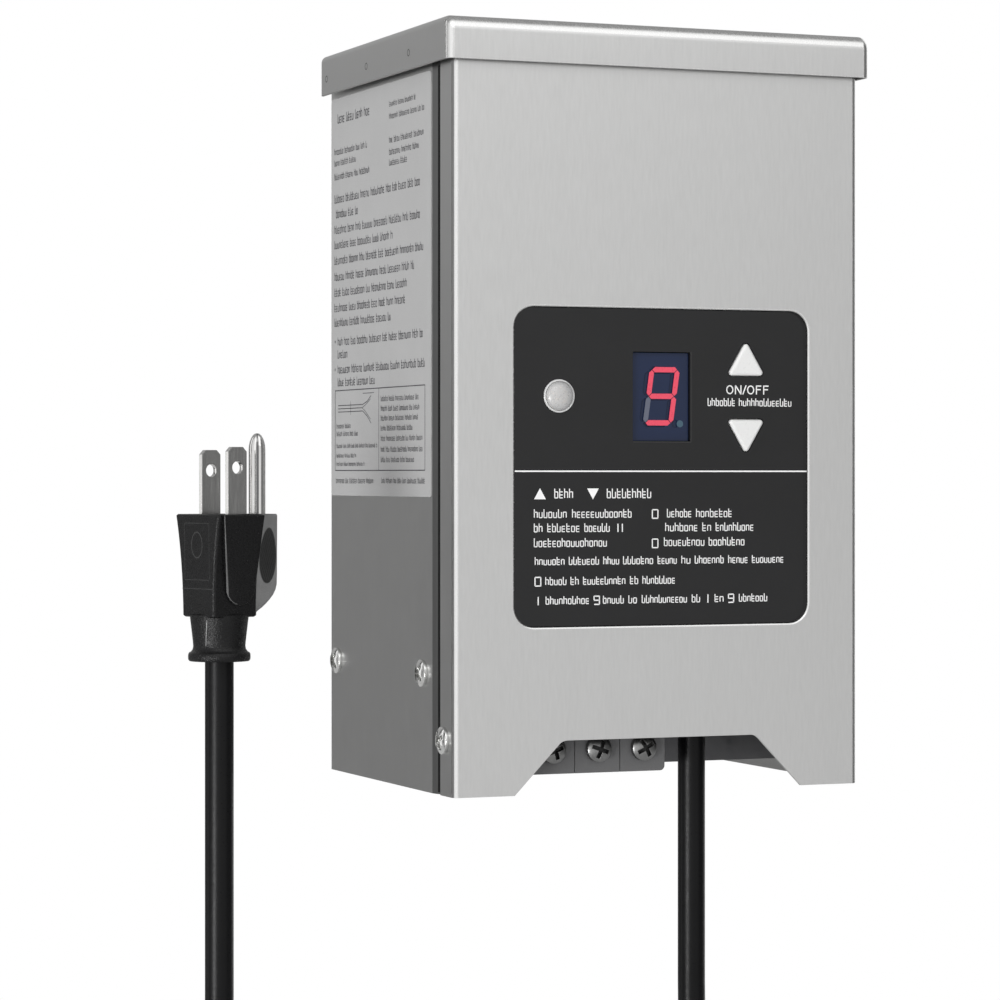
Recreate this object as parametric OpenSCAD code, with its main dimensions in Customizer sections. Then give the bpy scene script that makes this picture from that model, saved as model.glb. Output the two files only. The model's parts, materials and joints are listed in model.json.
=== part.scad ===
// Low voltage landscape transformer: a wall box of folded sheet steel with a
// timer panel, a three-pole terminal block underneath and a supply cord.
// Sizes are in millimetres. Heights are measured up from the bottom edge of the
// box, the wall is at y = 0 and the front faces -Y. placed() then moves every
// piece so that the origin lies midway between the two wall keyholes.

/* [Box] */
// Width of the housing over its side walls
body_w = 130; // [126:1:140]
// Depth from the wall to the front of the cover
body_d = 107; // [105:1:115]
// Height from the bottom edge to the top of the cap
body_h = 223; // [210:1:250]
// Thickness of the sheet steel
sheet = 0.9; // [0.7:0.1:1.1]
// Outside radius of the housing's rear bends
bend_r = 2; // [1.5:0.1:2.5]
// Distance behind the front at which the side walls start to step in
joggle_start = 16.7; // [15.5:0.1:18]
// Length of the sloping step
joggle_run = 4.7; // [3:0.1:5]
// Distance from the front of the cover to the edge of the side walls
joggle_end = 3; // [2:0.1:4]
// Gap between two folded sheets that overlap
fold_gap = 0.3; // [0.2:0.05:0.4]

/* [Wall keyholes] */
// Height of the keyholes above the bottom edge
hang_z = 185; // [180:1:195]
// Distance between the two keyholes
hang_pitch = 70; // [50:1:80]
// Radius of the round part that passes the screw head
hang_r = 6.5; // [5:0.1:7.5]
// Radius of the slot that holds the screw shank
hang_slot_r = 3.2; // [2.5:0.1:4]
// Distance from the round part's centre up to the slot's end
hang_rise = 11; // [9:0.5:13]

/* [Cap] */
// Height of the cap's skirt
cap_skirt_h = 11.7; // [9:0.1:14]
// Distance that the cap stands out past the box at the front and sides
cap_overhang = 2.8; // [2.4:0.1:4]
// Outside radius of the bends along the cap's top edges
cap_bend_r = 2; // [1.5:0.1:2.5]
// Outside radius of the front skirt's bent corners
cap_corner_r = 3; // [2.5:0.1:4]
// Length of the tab behind each bent corner
cap_tab_l = 6; // [4:0.5:10]
// Diameter of a spot weld's dimple
weld_d = 2.4; // [1.5:0.1:3]
// Distance between the spot welds
weld_pitch = 36.5; // [30:0.5:40]

/* [Front cover] */
// Depth of the cover's side flanges
cover_flange = 10.4; // [8:0.1:11.5]
// Outside radius of the cover's bends
cover_bend_r = 1.8; // [1.4:0.1:2.2]
// Gap between the cover and the underside of the cap
cover_top_gap = 1.6; // [1:0.1:3]
// Depth of the hook along the cover's top edge
cover_hook = 6; // [4:0.5:9]
// Width of the cover left beside the cut-out
cutout_side = 19; // [16:0.5:22]
// Width of each slanted side of the cut-out
cutout_slant = 15; // [12:0.5:18]
// Height of the cut-out
cutout_h = 15.5; // [12:0.5:17]
// Radius of the cut-out's upper corners
cutout_r = 3.5; // [2:0.5:5]

/* [Tray] */
// Height of the tray's underside above the bottom edge
tray_z = 22; // [21:0.5:24]
// Thickness of the tray
tray_t = 1.2; // [1:0.1:1.4]
// Height of the tray's side flanges
tray_flange_h = 20; // [17:0.5:23]
// Height of the tray's front lip
tray_lip_h = 7; // [5:0.5:9]
// Distance from the front of the cover to the tray's front lip
tray_front = 6; // [5:0.5:7]
// Gap between the tray and the back wall
tray_back_gap = 1.6; // [1.3:0.1:3]
// Distance from the front of the cover to the partition below the tray
partition_front = 46; // [44:0.5:47]
// Height of the partition's lower edge above the bottom edge
partition_z = 4.2; // [1:0.1:5]

/* [Side label] */
// Width of the label on the left wall
label_w = 87.5; // [80:0.5:88]
// Height of the label
label_h = 124; // [100:1:125]
// Height of the label's lower edge
label_z = 86; // [80:1:88]
// Thickness of the label
label_t = 0.15; // [0.1:0.05:0.3]
// Distance from the wall to the label's rear edge
label_back = 2; // [2:0.5:2.5]

/* [Control panel] */
// Width of the cover beside the window
window_side = 17.85; // [17:0.05:19]
// Height of the window
window_h = 92.5; // [91:0.5:96]
// Height of the window's lower edge
window_z = 48.5; // [48:0.5:52]
// Radius of the window's corners
window_r = 6; // [4:0.5:8]
// Gap round the panel in the window
window_fit = 0.15; // [0.1:0.05:0.3]
// Depth of the panel's face behind the front of the cover
panel_recess = 0.3; // [0.2:0.05:0.5]
// Thickness of the panel's flange behind the cover
panel_t = 1.6; // [1.4:0.1:2]
// Width of the panel's flange beside the window
panel_side = 9; // [8.5:0.5:10]
// Width of the panel's flange above and below the window
panel_edge = 3; // [2:0.5:4]
// Margin between the window and the deep part of the rear housing
tub_in = 0.65; // [0.2:0.05:1.5]
// Distance from the front of the cover to the back of the rear housing
tub_back = 27.9; // [27.9:0.1:29]
// Wall of the rear housing
tub_wall = 1.8; // [1.4:0.1:2]

/* [Display] */
// Width of the display
display_w = 18.3; // [17.5:0.1:20]
// Height of the display
display_h = 26; // [25:0.5:28]
// Gap round the display in the panel
display_fit = 0.15; // [0.1:0.05:0.3]
// Height of the display's middle
display_z = 115.3; // [112:0.1:118]
// Depth of the display's face behind the panel's face
display_recess = 1.1; // [0.8:0.1:2]
// Height of the digit
digit_h = 17.6; // [14:0.1:19]
// Width of the digit
digit_w = 10.2; // [8:0.1:11]
// Width of one segment
segment_w = 1.9; // [1.5:0.1:2.4]
// Lean of the digit in degrees
digit_lean = 7; // [0:1:10]

/* [Photocell] */
// Radius of the photocell's lens
lens_r = 4.8; // [4:0.1:5.5]
// Distance from the window's left edge to the lens
lens_in = 15.15; // [13:0.05:17]
// Height of the dome above the lens's rim
lens_dome = 1.9; // [1:0.1:3]

/* [Buttons] */
// Width of a button at its flat side
button_w = 12.2; // [10:0.1:13]
// Height of a button before its corners are rounded
button_h = 10.2; // [9:0.1:11]
// Radius of a button's corners
button_r = 0.9; // [0.5:0.1:1.2]
// Distance from the window's right edge to the buttons
button_in = 19.15; // [17:0.05:20]
// Distance from the middle of the display to a button's flat side
button_z = 6.5; // [6:0.1:8]
// Distance that a button stands out of the panel
button_proud = 0.9; // [0.7:0.1:1.5]
// Travel of a button
button_travel = 0.6; // [0.3:0.1:0.8]

/* [Terminal block] */
// Number of poles drawn on the block
poles = 3; // [3]
// Distance between two poles
pole_pitch = 14.5; // [14:0.5:15]
// Distance of the block's middle left of the box's middle
block_x = 15.85; // [15.5:0.05:17]
// Height of the block
block_h = 17; // [16.5:0.5:18]
// Depth of the block
block_d = 21; // [20.5:0.5:22]
// Distance from the front of the cover to the block's face
block_setback = 9.7; // [9:0.1:10.5]
// Height of the clamp screws above the bottom edge
clamp_z = 12; // [11.5:0.5:12.5]
// Travel of a clamp plate
clamp_travel = 4; // [3:0.5:4]
// Gap between the terminal bar and the open clamp plate
clamp_gap = 4.6; // [4.6:0.1:5]

/* [Screws] */
// Diameter of the larger pan heads
head_d = 8; // [7:0.5:8.5]
// Height of the larger pan heads
head_h = 2.2; // [1.8:0.1:2.6]
// Diameter of the larger screws
screw_d = 4; // [3.5:0.1:4.2]
// Length of the larger screws under the head
screw_l = 8; // [6:0.5:9]
// Height of the cover screws above the bottom edge
cover_screw_z = 16; // [14:0.5:17]
// Distance from the front of the cover to the cover screws
cover_screw_y = 7.5; // [7:0.1:8]
// Height of the tray screws above the bottom edge
tray_screw_z = 34.5; // [32:0.5:36]
// Distance from the front of the cover to the front tray screws
tray_screw_y = 24.5; // [22:0.5:26]
// Distance from the wall to the rear tray screws
tray_screw_back = 7.7; // [7:0.1:12]

/* [Transformer] */
// Distance from the core to the outside of the box at each side
core_side = 17; // [15.5:0.5:20]
// Gap between the bobbin's flanges and the back wall
coil_back_gap = 2.1; // [1.5:0.1:2.5]
// Gap between the bobbin's flanges and the control housing
coil_front_gap = 4.1; // [4:0.1:6]
// Thickness of the sheet steel frame round the core
frame_t = 1.5; // [1.2:0.1:2]
// Gap between the frame's feet and the box's side walls
foot_gap = 4.1; // [2.5:0.1:6]

/* [Cord] */
// Diameter of the supply cord
cord_d = 8.2; // [7.8:0.1:8.2]
// Radius of the middle of the coil's outermost turn
coil_outer_r = 52.5; // [52.5]
// Distance between the middles of two turns side by side
coil_step = 8.7; // [8.7:0.05:8.9]
// Turns of the coil
coil_turns = 4.5; // [4.5]

/* [Plug] */
// Height of the plug's body
plug_h = 28.9; // [26:0.1:31]
// Width of the plug across its two flat sides
plug_w = 21.3; // [20:0.1:22]
// Distance from the cord's axis to the plug's plain side
plug_back = 7.8; // [7.5:0.1:9]
// Distance from the cord's axis to the plug's nose
plug_nose = 16.7; // [16:0.1:18]
// Distance from the cord's axis to the blades
blade_offset = 1.2; // [0.5:0.1:1.5]

/* [Hidden] */
$fn = 48;

// One overrun for every cut that leaves its piece
cut = 1;
// Gap between two pieces that lie side by side and don't move
touch_gap = 0.1;
// Gap between a screw's shank and its hole
screw_fit = 0.15;
// Gap between a turning screw and its bore
run_fit = 0.06;

half_w = body_w / 2;
window_w = body_w - 2 * window_side;
cutout_w = body_w - 2 * cutout_side;
cutout_top_w = cutout_w - 2 * cutout_slant;
lens_x = window_w / 2 - lens_in;
button_x = window_w / 2 - button_in;
wall_x = half_w - sheet;
joggle_x = half_w - sheet - fold_gap;
joggle_in_x = joggle_x - sheet;
cover_in_y = -(body_d - sheet);
cap_under_z = body_h - sheet;

// Pan heads: height of the dome, size and floor of the cross recess
dome_share = 0.16;
cross_share = 0.36;
slot_share = 0.08;
floor_share = 0.3;
screw_turn = 25;

// Cap
cap_x = half_w + cap_overhang;
cap_front = body_d + cap_overhang;
cap_inner_x = cap_x - sheet;
weld_depth = 0.3;
weld_count = 3;
weld_back = 5;
weld_z = cap_under_z - cap_skirt_h / 2;

// Cover
cover_top_z = cap_under_z - cover_top_gap;
hook_side_gap = 1;
hook_x = joggle_in_x - hook_side_gap;
window_top_z = window_z + window_h;
window_mid_z = window_z + window_h / 2;

// Studs on the back of the cover that hold the control module
stud_d = 3;
stud_l = 7;
stud_shift = 0.35;
stud_x = window_w / 2 + panel_side / 2 + stud_shift;
stud_in_z = 5.5;
stud_z_low = window_z + stud_in_z;
stud_z_high = window_top_z - stud_in_z;
nut_across = 5.5;
nut_t = 2.4;

// Tray
tray_side_gap = 0.5;
tray_front_x = joggle_in_x - tray_side_gap;
tray_step = 1;
tray_wide_y = -(body_d - joggle_start - tray_step);
tray_back_y = -(sheet + tray_back_gap);
tray_top_z = tray_z + tray_t;

label_corner = 1;

// Control module
panel_face_y = -(body_d - panel_recess);
panel_back_y = cover_in_y + panel_t;
flange_t = 1.8;
flange_back_y = panel_back_y + flange_t;
board_t = 1.6;
board_gap = 7.3;
board_front_y = panel_back_y + board_gap;
board_back_y = board_front_y + board_t;
tub_w = window_w - 2 * tub_in;
tub_h = window_h - 4 * tub_in;
board_side = 2.7;
board_w = tub_w - 2 * tub_wall - 2 * board_side;
board_h = tub_h - 2 * tub_wall - board_side;
post_r = 3;
post_in = 4;
post_x = board_w / 2 - post_in;
post_z = board_h / 2 - post_in;
pilot_r = 1.1;
board_screw_r = 1;
board_screw_l = 5;
board_head_d = 4.4;
board_head_h = 1.6;
tub_r = 4;
notch_x = 33;
notch_w = 14;
notch_y = 21;
notch_d = 10;

// Display
display_face_y = panel_face_y + display_recess;
segment_depth = 0.4;
segment_gap = 0.35;
dot_r = 1.1;
display_corner = 0.4;
dot_x = 8.1;
digit_shift = 0.6;

// Photocell
lens_rim = 0.6;
lens_fit = 0.1;
lens_flange = 1.4;
lens_flange_t = 1;
lens_proud = 0.3;
lens_top = panel_back_y - panel_face_y + lens_proud;
dome_r = lens_r - lens_rim;
dome_ball_r = (dome_r * dome_r + lens_dome * lens_dome) / (2 * lens_dome);
dome_drop = dome_ball_r - lens_dome;
sensor_r = 2.6;
sensor_t = 2;
sensor_gap = 0.5;
sensor_lead_r = 0.3;
sensor_lead_x = 1.7;

// Buttons
button_fit = 0.35;
button_flange = 1.4;
button_flange_t = 1.5;
button_flange_gap = 0.3;
button_flange_y = panel_back_y + button_flange_gap + button_flange_t / 2;
button_bevel = 0.5;
button_bevel_in = 0.6;
switch_w = 6;
switch_t = 3.5;
plunger_r = 1.7;
plunger_in = 0.7;
switch_bore = 1.8;
stem_r = 2.4;
switch_face_y = board_front_y - switch_t;
cap_stem_gap = 1.5;
stem_front_y = switch_face_y - cap_stem_gap;

// Parts on the board
relay_size = [19, 13.9, 15.5];
relay_shares = [0.25, 0.314];
film_size = [18, 12, 13];
film_shares = [-0.16667, 0.32596];
can_r = 4;
can_l = 12;
can_shares = [-0.38095, 0.0628];
chip_size = [10, 2, 7.5];
chip_shares = [0, -0.20036];

// Transformer
// Scrapless laminations: six units wide, five high, with legs of one unit
core_w = body_w - 2 * core_side;
core_unit = core_w / 6;
core_h = 5 * core_unit;
core_leg = core_unit;
core_window = core_unit;
core_stack = body_d - tub_back - coil_front_gap - 2 * core_window - coil_back_gap - sheet;
frame_foot = core_side - sheet - foot_gap;
core_z = tray_top_z;
core_y = -(sheet + coil_back_gap + core_stack / 2 + core_window);
yoke_z = core_z + core_h - core_leg;
bobbin_fit = 0.2;
bobbin_wall = 1.3;
bobbin_flange_t = 1.6;
flange_side_gap = 0.5;
flange_r = 3;
tube_x = core_leg + bobbin_fit + bobbin_wall;
tube_y = core_stack / 2 + bobbin_fit + bobbin_wall;
flange_x = core_leg + core_window - flange_side_gap;
flange_y = core_stack / 2 + core_window;
bobbin_z = core_z + core_leg + bobbin_fit;
bobbin_h = core_h - 2 * core_leg - 2 * bobbin_fit;
coil_z = bobbin_z + bobbin_flange_t + touch_gap;
coil_h = bobbin_h - 2 * bobbin_flange_t - 2 * touch_gap;
wrap_t = 0.5;
winding_gap = 2.9;
winding_t = (core_window - bobbin_fit - bobbin_wall - wrap_t - winding_gap) / 2;
tube_r = 1;
frame_r = 2.2;
bolt_spread_share = 0.3;
bolt_spread = core_stack * bolt_spread_share;
bolt_in = 4.5;
bolt_x = core_w / 2 + frame_foot - bolt_in;
bolt_head_d = 7;
bolt_l = 6.6;
bolt_nut_across = 7;
bolt_nut_t = 3.2;
cutout_size = [16, 3, 6.5];
cutout_shift = 4;
cutout_rise = 4.9;
coil_face_y = core_y - (tube_y + 2 * winding_t + wrap_t + 3 * touch_gap);

// Terminal block
block_top_z = tray_z;
block_bottom_z = tray_z - block_h;
block_face_y = -(body_d - block_setback);
block_back_y = block_face_y + block_d;
block_w = poles * pole_pitch;
block_r = 1.5;
groove_w = 0.3;
groove_d = 0.4;
pocket_wall = 2.5;
pocket_w = 9.6;
pocket_d = 12.3;
pocket_top = 3;
pocket_front_y = block_face_y + pocket_wall;
pocket_top_z = block_top_z - pocket_top;
bar_t = 1;
bar_side_gap = 0.2;
bar_hole_r = 2.4;
bar_low = 2;
tab_w = 6.3;
tab_rise = 14;
tab_fit = 0.15;
plate_t = 2.2;
plate_w = 9;
plate_h = 10.5;
plate_rib = 0.4;
plate_rib_w = 1;
clamp_screw_l = 12;
clamp_head_d = 7.6;
clamp_head_h = 3.1;
block_screw_d = 3;
block_screw_l = 10;
block_screw_head_d = 5.6;
block_screw_head_h = 2;
block_screw_in = 3.1;

// Ground screw on the tray
ground_side = 23;
ground_front = 25;
ground_x = half_w - ground_side;
ground_y = -(body_d - ground_front);
lug_r = 4.2;
lug_t = 0.8;
lug_neck_w = 3.2;
lug_barrel_r = 1.9;
lug_barrel_l = 5.5;
lug_barrel_from = 5;
ground_screw_l = 6;

// Bushing that holds the cord in the tray
bush_hole_r = 6.5;
bush_fit = 0.15;
bush_bore_gap = 0.15;
bush_flange_r = 9;
bush_flange_t = 2;
bush_low_l = 4;
bush_low_r = 5.8;
bush_lock_r = 7.4;
bush_lock_t = 2.4;
bush_high_l = 15;
bush_high_r = 5.4;
bush_edge = 0.5;

// Cord's route: to the coil in one plane and from the coil to the plug in another
cord_x = 20;
cord_setback = 21;
cord_back_y = -(body_d - cord_setback);
cord_front_y = cord_back_y - coil_step;
coil_x = -55.5;
coil_mid_z = -146;
route_in = [
    [20, 42], [20, 26], [20, 8], [20, -10], [20, -28], [20, -46], [20, -60], [20, -72],
    [19, -83], [15, -94], [8.5, -105], [2, -116], [-1.6, -125], [-3, -132], [-3, -137.8]
];
route_out = [
    [-108, -137.8], [-108, -132], [-109.4, -125], [-113, -116], [-119.5, -105], [-126, -94],
    [-130, -83], [-131, -72], [-131, -54], [-131, -36], [-131, -18], [-131, 0],
    [-131, 20], [-131, 40]
];
plug_x = -131;
cord_sides = 10;
coil_sides = 6;
rings_per_turn = 24;
coil_mid_y = (cord_back_y + cord_front_y) / 2;
coil_layer = coil_step / 2;

// Tie round the coil's top
tie_gap = 0.3;
tie_t = 1.4;
tie_w = 5;
tie_head = [7, 6, 5];

// Leads inside: each runs through points chosen by hand, with Y from the cord's
lead_r = 1.2;
thick_lead_r = 1.4;
lead_sides = 8;
line_route = [
    [22.3, 0, 42], [22.3, 0, 43.5], [25, 0, 46.5], [32, -1.5, 48], [36, -2, 54],
    [36, -2.6, 60], [36, -5, 62], [36, -9.6, 62]
];
relay_route = [
    [30, -9.6, 62], [30, -5, 62], [30, -2.6, 60], [30, -1, 54], [29, 3, 47.5],
    [22, 8.5, 46], [14, 11.1, 46], [4.1, 11.1, 46]
];
neutral_route = [
    [18, 1.6, 42], [18, 1.6, 43.5], [16.5, 4, 45.5], [13, 6.5, 43.5], [10.5, 8, 41],
    [10, 9.5, 40], [10, 11, 40]
];
ground_route = [
    [19, -2.3, 42], [19, -2.3, 43.5], [21.5, -5.5, 45.5], [29, -9, 44], [38, -11.5, 38],
    [42, -12, 30], [42, -11, 26.4], [42, -9, 25.1], [42, -6.5, 25.1]
];
secondary_start_x = [-28, -18, -6];
secondary_start_y = 11;
secondary_bend_y = 6;
secondary_start_z = 40;
secondary_over_z = 42.5;
secondary_drop_z = 40;

// Plug
plug_turn = 18;
plug_face_z = 81.4;
plug_shoulder_z = plug_face_z - plug_h;
plug_foot_shares = [0.95, 0.72, 0.98];
plug_side_share = 0.475;
plug_nose_half = 5;
plug_slice = 0.5;
plug_corner = 1.2;
neck_top_r = 8;
neck_low_r = 7.1;
neck_h = 10;
collar_r = 8.7;
collar_t = 2.5;
collar_edge = 0.8;
panel_raise = 0.9;
panel_low_r = 5;
panel_low_z = 8.4;
panel_from = 1.3;
panel_top_x = [-6.4, 7.5];
grip_lift = 2.1;
grip_depth = 0.7;
grip_half_w = 4.2;
grip_half_h = 8;
blade_pitch = 12.7;
blade_w = 6.35;
blade_t = 1.5;
blade_l = 18.3;
blade_root = 6;
blade_hole_r = 1.55;
blade_hole_in = 5.2;
blade_tip = 1.3;
pin_r = 2.38;
pin_fit = 0.03;
pin_l = 22.9;
pin_offset = 11.9;

// Moves a piece from the box's bottom edge to the keyholes
module placed() {
    translate([0, 0, -hang_z]) children();
}

// Drawn in X and Z, then given a thickness towards the front from y_back
module facing(y_back, thick) {
    translate([0, y_back, 0]) rotate([90, 0, 0]) linear_extrude(thick) children();
}

// Drawn in Y and Z, then given a thickness towards +X from x_left
module sideways(x_left, thick) {
    translate([x_left, 0, 0]) rotate([90, 0, 90]) linear_extrude(thick) children();
}

// Rectangle from its corner with four rounded corners
module round_rect(low, size, r) {
    translate(low) {
        translate([r, 0]) square([size[0] - 2 * r, size[1]]);
        translate([0, r]) square([size[0], size[1] - 2 * r]);
        for (x = [r, size[0] - r], y = [r, size[1] - r]) translate([x, y]) circle(r);
    }
}

function unit(v) = v / norm(v);

// Middle of the circle that rounds corner b of the outline a, b, c
function corner_mid(a, b, c, r) =
    let (p = unit(a - b), q = unit(c - b), half = acos(p * q) / 2)
    b + unit(p + q) * r / sin(half);

function corner_ends(a, b, c, r) =
    let (p = unit(a - b), q = unit(c - b), run = r / tan(acos(p * q) / 2))
    [b + p * run, b + q * run];

// Convex outline with true round corners
module round_corners(points, r) {
    n = len(points);
    ends = [for (i = [0:n - 1])
        each corner_ends(points[(i + n - 1) % n], points[i], points[(i + 1) % n], r)];
    polygon(ends);
    for (i = [0:n - 1])
        translate(corner_mid(points[(i + n - 1) % n], points[i], points[(i + 1) % n], r))
            circle(r);
}

// Cross-recessed pan head on a shank: the head stands on z = 0, the shank hangs below
module pan_screw(d, h, shank_d, shank_l) {
    edge_h = h - d * dome_share;
    dome_r = (d * d / 4 + pow(h - edge_h, 2)) / (2 * (h - edge_h));
    difference() {
        intersection() {
            cylinder(d = d, h = h);
            translate([0, 0, h - dome_r]) sphere(dome_r);
        }
        for (a = [0, 90]) rotate([0, 0, a])
            translate([-d * cross_share, -d * slot_share, h * floor_share])
                cube([2 * d * cross_share, 2 * d * slot_share, h]);
    }
    translate([0, 0, -shank_l]) cylinder(d = shank_d, h = shank_l + h * floor_share / 2);
}
// Hexagon nut standing on z = 0
module hex_nut(across, h, bore_r) {
    difference() {
        cylinder(d = across / cos(30), h = h, $fn = 6);
        translate([0, 0, -cut]) cylinder(r = bore_r, h = h + 2 * cut);
    }
}

// Directions of each point of a path, averaged over its two sides
function headings(path) = let (n = len(path)) [for (i = [0:n - 1])
    i == 0 ? unit(path[1] - path[0]) :
    i == n - 1 ? unit(path[n - 1] - path[n - 2]) :
    unit(unit(path[i + 1] - path[i]) + unit(path[i] - path[i - 1]))];

// Carries a side direction along a path without twist
function carried(ways, side, i = 0) = i == len(ways) ? [] :
    let (next = unit(side - ways[i] * (side * ways[i])))
    concat([next], carried(ways, next, i + 1));

// One closed tube of flat triangles along a path
module tube(path, r, sides, side) {
    n = len(path);
    ways = headings(path);
    outs = carried(ways, side);
    points = [for (i = [0:n - 1], k = [0:sides - 1])
        let (a = 360 * k / sides, up = cross(ways[i], outs[i]))
        path[i] + r * (cos(a) * outs[i] + sin(a) * up)];
    walls = [for (i = [0:n - 2], k = [0:sides - 1])
        let (a = i * sides + k, b = i * sides + (k + 1) % sides)
        each [[a, b + sides, b], [a, a + sides, b + sides]]];
    first = [for (k = [1:sides - 2]) [0, k, k + 1]];
    base = (n - 1) * sides;
    last = [for (k = [1:sides - 2]) [base, base + k + 1, base + k]];
    polyhedron(points, concat(walls, first, last));
}

// Outline of the housing seen from above, inside or outside face
module housing_outline() {
    difference() {
        round_rect([-half_w, -body_d], [body_w, body_d], bend_r);
        round_rect([-wall_x, -body_d - cut], [2 * wall_x, body_d + cut - sheet], bend_r - sheet);
        translate([-half_w - cut, -body_d - cut])
            square([body_w + 2 * cut, joggle_start + cut]);
    }
    for (s = [-1, 1]) scale([s, 1]) polygon([
        [half_w, -(body_d - joggle_start)],
        [joggle_x, -(body_d - joggle_start + joggle_run)],
        [joggle_x, -(body_d - joggle_end)],
        [joggle_in_x, -(body_d - joggle_end)],
        [joggle_in_x, -(body_d - joggle_start + joggle_run)],
        [wall_x, -(body_d - joggle_start)]
    ]);
}

module keyholes() {
    for (s = [-1, 1]) translate([s * hang_pitch / 2, hang_z]) {
        circle(hang_r);
        translate([-hang_slot_r, 0]) square([2 * hang_slot_r, hang_rise - hang_slot_r]);
        translate([0, hang_rise - hang_slot_r]) circle(hang_slot_r);
    }
}

// Holes for the side screws, drawn in Y and Z
module side_screw_holes(r) {
    for (y = [-(body_d - tray_screw_y), -tray_screw_back])
        translate([y, tray_screw_z]) circle(r);
}

module cover_screw_hole(r) {
    translate([-(body_d - cover_screw_y), cover_screw_z]) circle(r);
}

module housing() placed() color("silver") difference() {
    linear_extrude(cap_under_z) housing_outline();
    facing(cut, sheet + 2 * cut) keyholes();
    sideways(-half_w - cut, body_w + 2 * cut) {
        side_screw_holes(screw_d / 2 + screw_fit);
        cover_screw_hole(screw_d / 2 + screw_fit);
    }
}

// Cross-section of the cap's side: top plate, bend and skirt at x_out
module cap_section(x_out) {
    difference() {
        round_rect([0, -cap_skirt_h - cap_bend_r], [x_out, cap_skirt_h + cap_bend_r], cap_bend_r);
        round_rect([-cut, -cap_skirt_h - cap_bend_r], [x_out + cut - sheet,
            cap_skirt_h + cap_bend_r - sheet], cap_bend_r - sheet);
        translate([-cut, -cap_skirt_h - cap_bend_r - cut])
            square([x_out + 2 * cut, cap_bend_r + cut]);
    }
}

module top_cap() placed() color("lightgray") translate([0, 0, body_h]) difference() {
    union() {
        for (s = [-1, 1]) scale([s, 1, 1]) {
            rotate([90, 0, 0]) linear_extrude(cap_front - cap_corner_r) cap_section(cap_x);
            intersection() {
                rotate([90, 0, 0]) linear_extrude(cap_front) cap_section(cap_x);
                translate([0, 0, -cap_bend_r]) linear_extrude(cap_bend_r)
                    round_rect([0, -cap_front], [cap_x, cap_front], cap_corner_r);
            }
        }
        intersection() {
            translate([-cap_inner_x, 0, 0]) rotate([90, 0, 90])
                linear_extrude(2 * cap_inner_x) scale([-1, 1]) cap_section(cap_front);
            translate([0, 0, -cap_skirt_h]) linear_extrude(cap_skirt_h)
                round_rect([-cap_inner_x, -cap_front], [2 * cap_inner_x, cap_front], cap_corner_r);
        }
        for (s = [-1, 1]) scale([s, 1, 1]) translate([0, 0, -cap_skirt_h])
            linear_extrude(cap_skirt_h - cap_bend_r) difference() {
                round_rect([0, -cap_front], [cap_inner_x, 2 * cap_tab_l], cap_corner_r);
                round_rect([-cut, -cap_front + sheet], [cap_inner_x + cut - sheet, 2 * cap_tab_l],
                    cap_corner_r - sheet);
                translate([-cut, -cap_front + cap_tab_l]) square([cap_x, 2 * cap_tab_l]);
            }
    }
    for (s = [-1, 1], i = [0:weld_count - 1])
        translate([s * cap_x, -(weld_back + i * weld_pitch), weld_z - body_h])
            rotate([0, 90, 0]) cylinder(d = weld_d, h = 2 * weld_depth, center = true);
}

function mirrored_outline(points) = concat(points,
    [for (i = [len(points) - 1:-1:0]) [-points[i][0], points[i][1]]]);

module cutout_shape() {
    round_corners([
        [cutout_top_w / 2, cutout_h], [-cutout_top_w / 2, cutout_h],
        [-cutout_w / 2 - (cutout_w - cutout_top_w) / 2, -cutout_h],
        [cutout_w / 2 + (cutout_w - cutout_top_w) / 2, -cutout_h]
    ], cutout_r);
}

module window_shape(gap) {
    round_rect([-window_w / 2 + gap, window_z + gap],
        [window_w - 2 * gap, window_h - 2 * gap], window_r - gap);
}

module stud_places() {
    for (x = [-stud_x, stud_x], z = [stud_z_low, stud_z_high]) translate([x, z]) children();
}

module front_cover() placed() color("lightgray") {
    difference() {
        linear_extrude(cover_top_z) difference() {
            round_rect([-half_w, -body_d], [body_w, 2 * cover_flange], cover_bend_r);
            round_rect([-wall_x, -body_d + sheet], [2 * wall_x, 2 * cover_flange],
                cover_bend_r - sheet);
            translate([-half_w - cut, -body_d + cover_flange])
                square([body_w + 2 * cut, 2 * cover_flange]);
        }
        facing(-body_d + sheet + cut, sheet + 2 * cut) {
            cutout_shape();
            window_shape(0);
        }
        sideways(-half_w - cut, body_w + 2 * cut) cover_screw_hole(screw_d / 2 + screw_fit);
    }
    translate([-hook_x, cover_in_y - sheet / 2, cover_top_z - sheet])
        cube([2 * hook_x, cover_hook - sheet / 2, sheet]);
    facing(cover_in_y + stud_l, stud_l + sheet / 2) stud_places() circle(d = stud_d);
}

module cover_screws() placed() color("gainsboro") {
    for (s = [-1, 1])
        translate([s * half_w, -(body_d - cover_screw_y), cover_screw_z])
            rotate([0, s * 90, 0]) rotate([0, 0, screw_turn])
                pan_screw(head_d, head_h, screw_d, screw_l);
}

module tray_screws() placed() color("gainsboro") {
    for (s = [-1, 1], y = [-(body_d - tray_screw_y), -tray_screw_back])
        translate([s * half_w, y, tray_screw_z])
            rotate([0, s * 90, 0]) rotate([0, 0, screw_turn * 2])
                pan_screw(head_d, head_h, screw_d, screw_l);
}

module side_label() placed() color("lightgray")
    sideways(-half_w - label_t, label_t)
        round_rect([-label_back - label_w, label_z], [label_w, label_h], label_corner);

// Where the terminal block's screws pass through the tray
function pole_x(i) = -block_x + (i - (poles - 1) / 2) * pole_pitch;
block_screw_y = block_back_y - block_screw_in;

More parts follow.
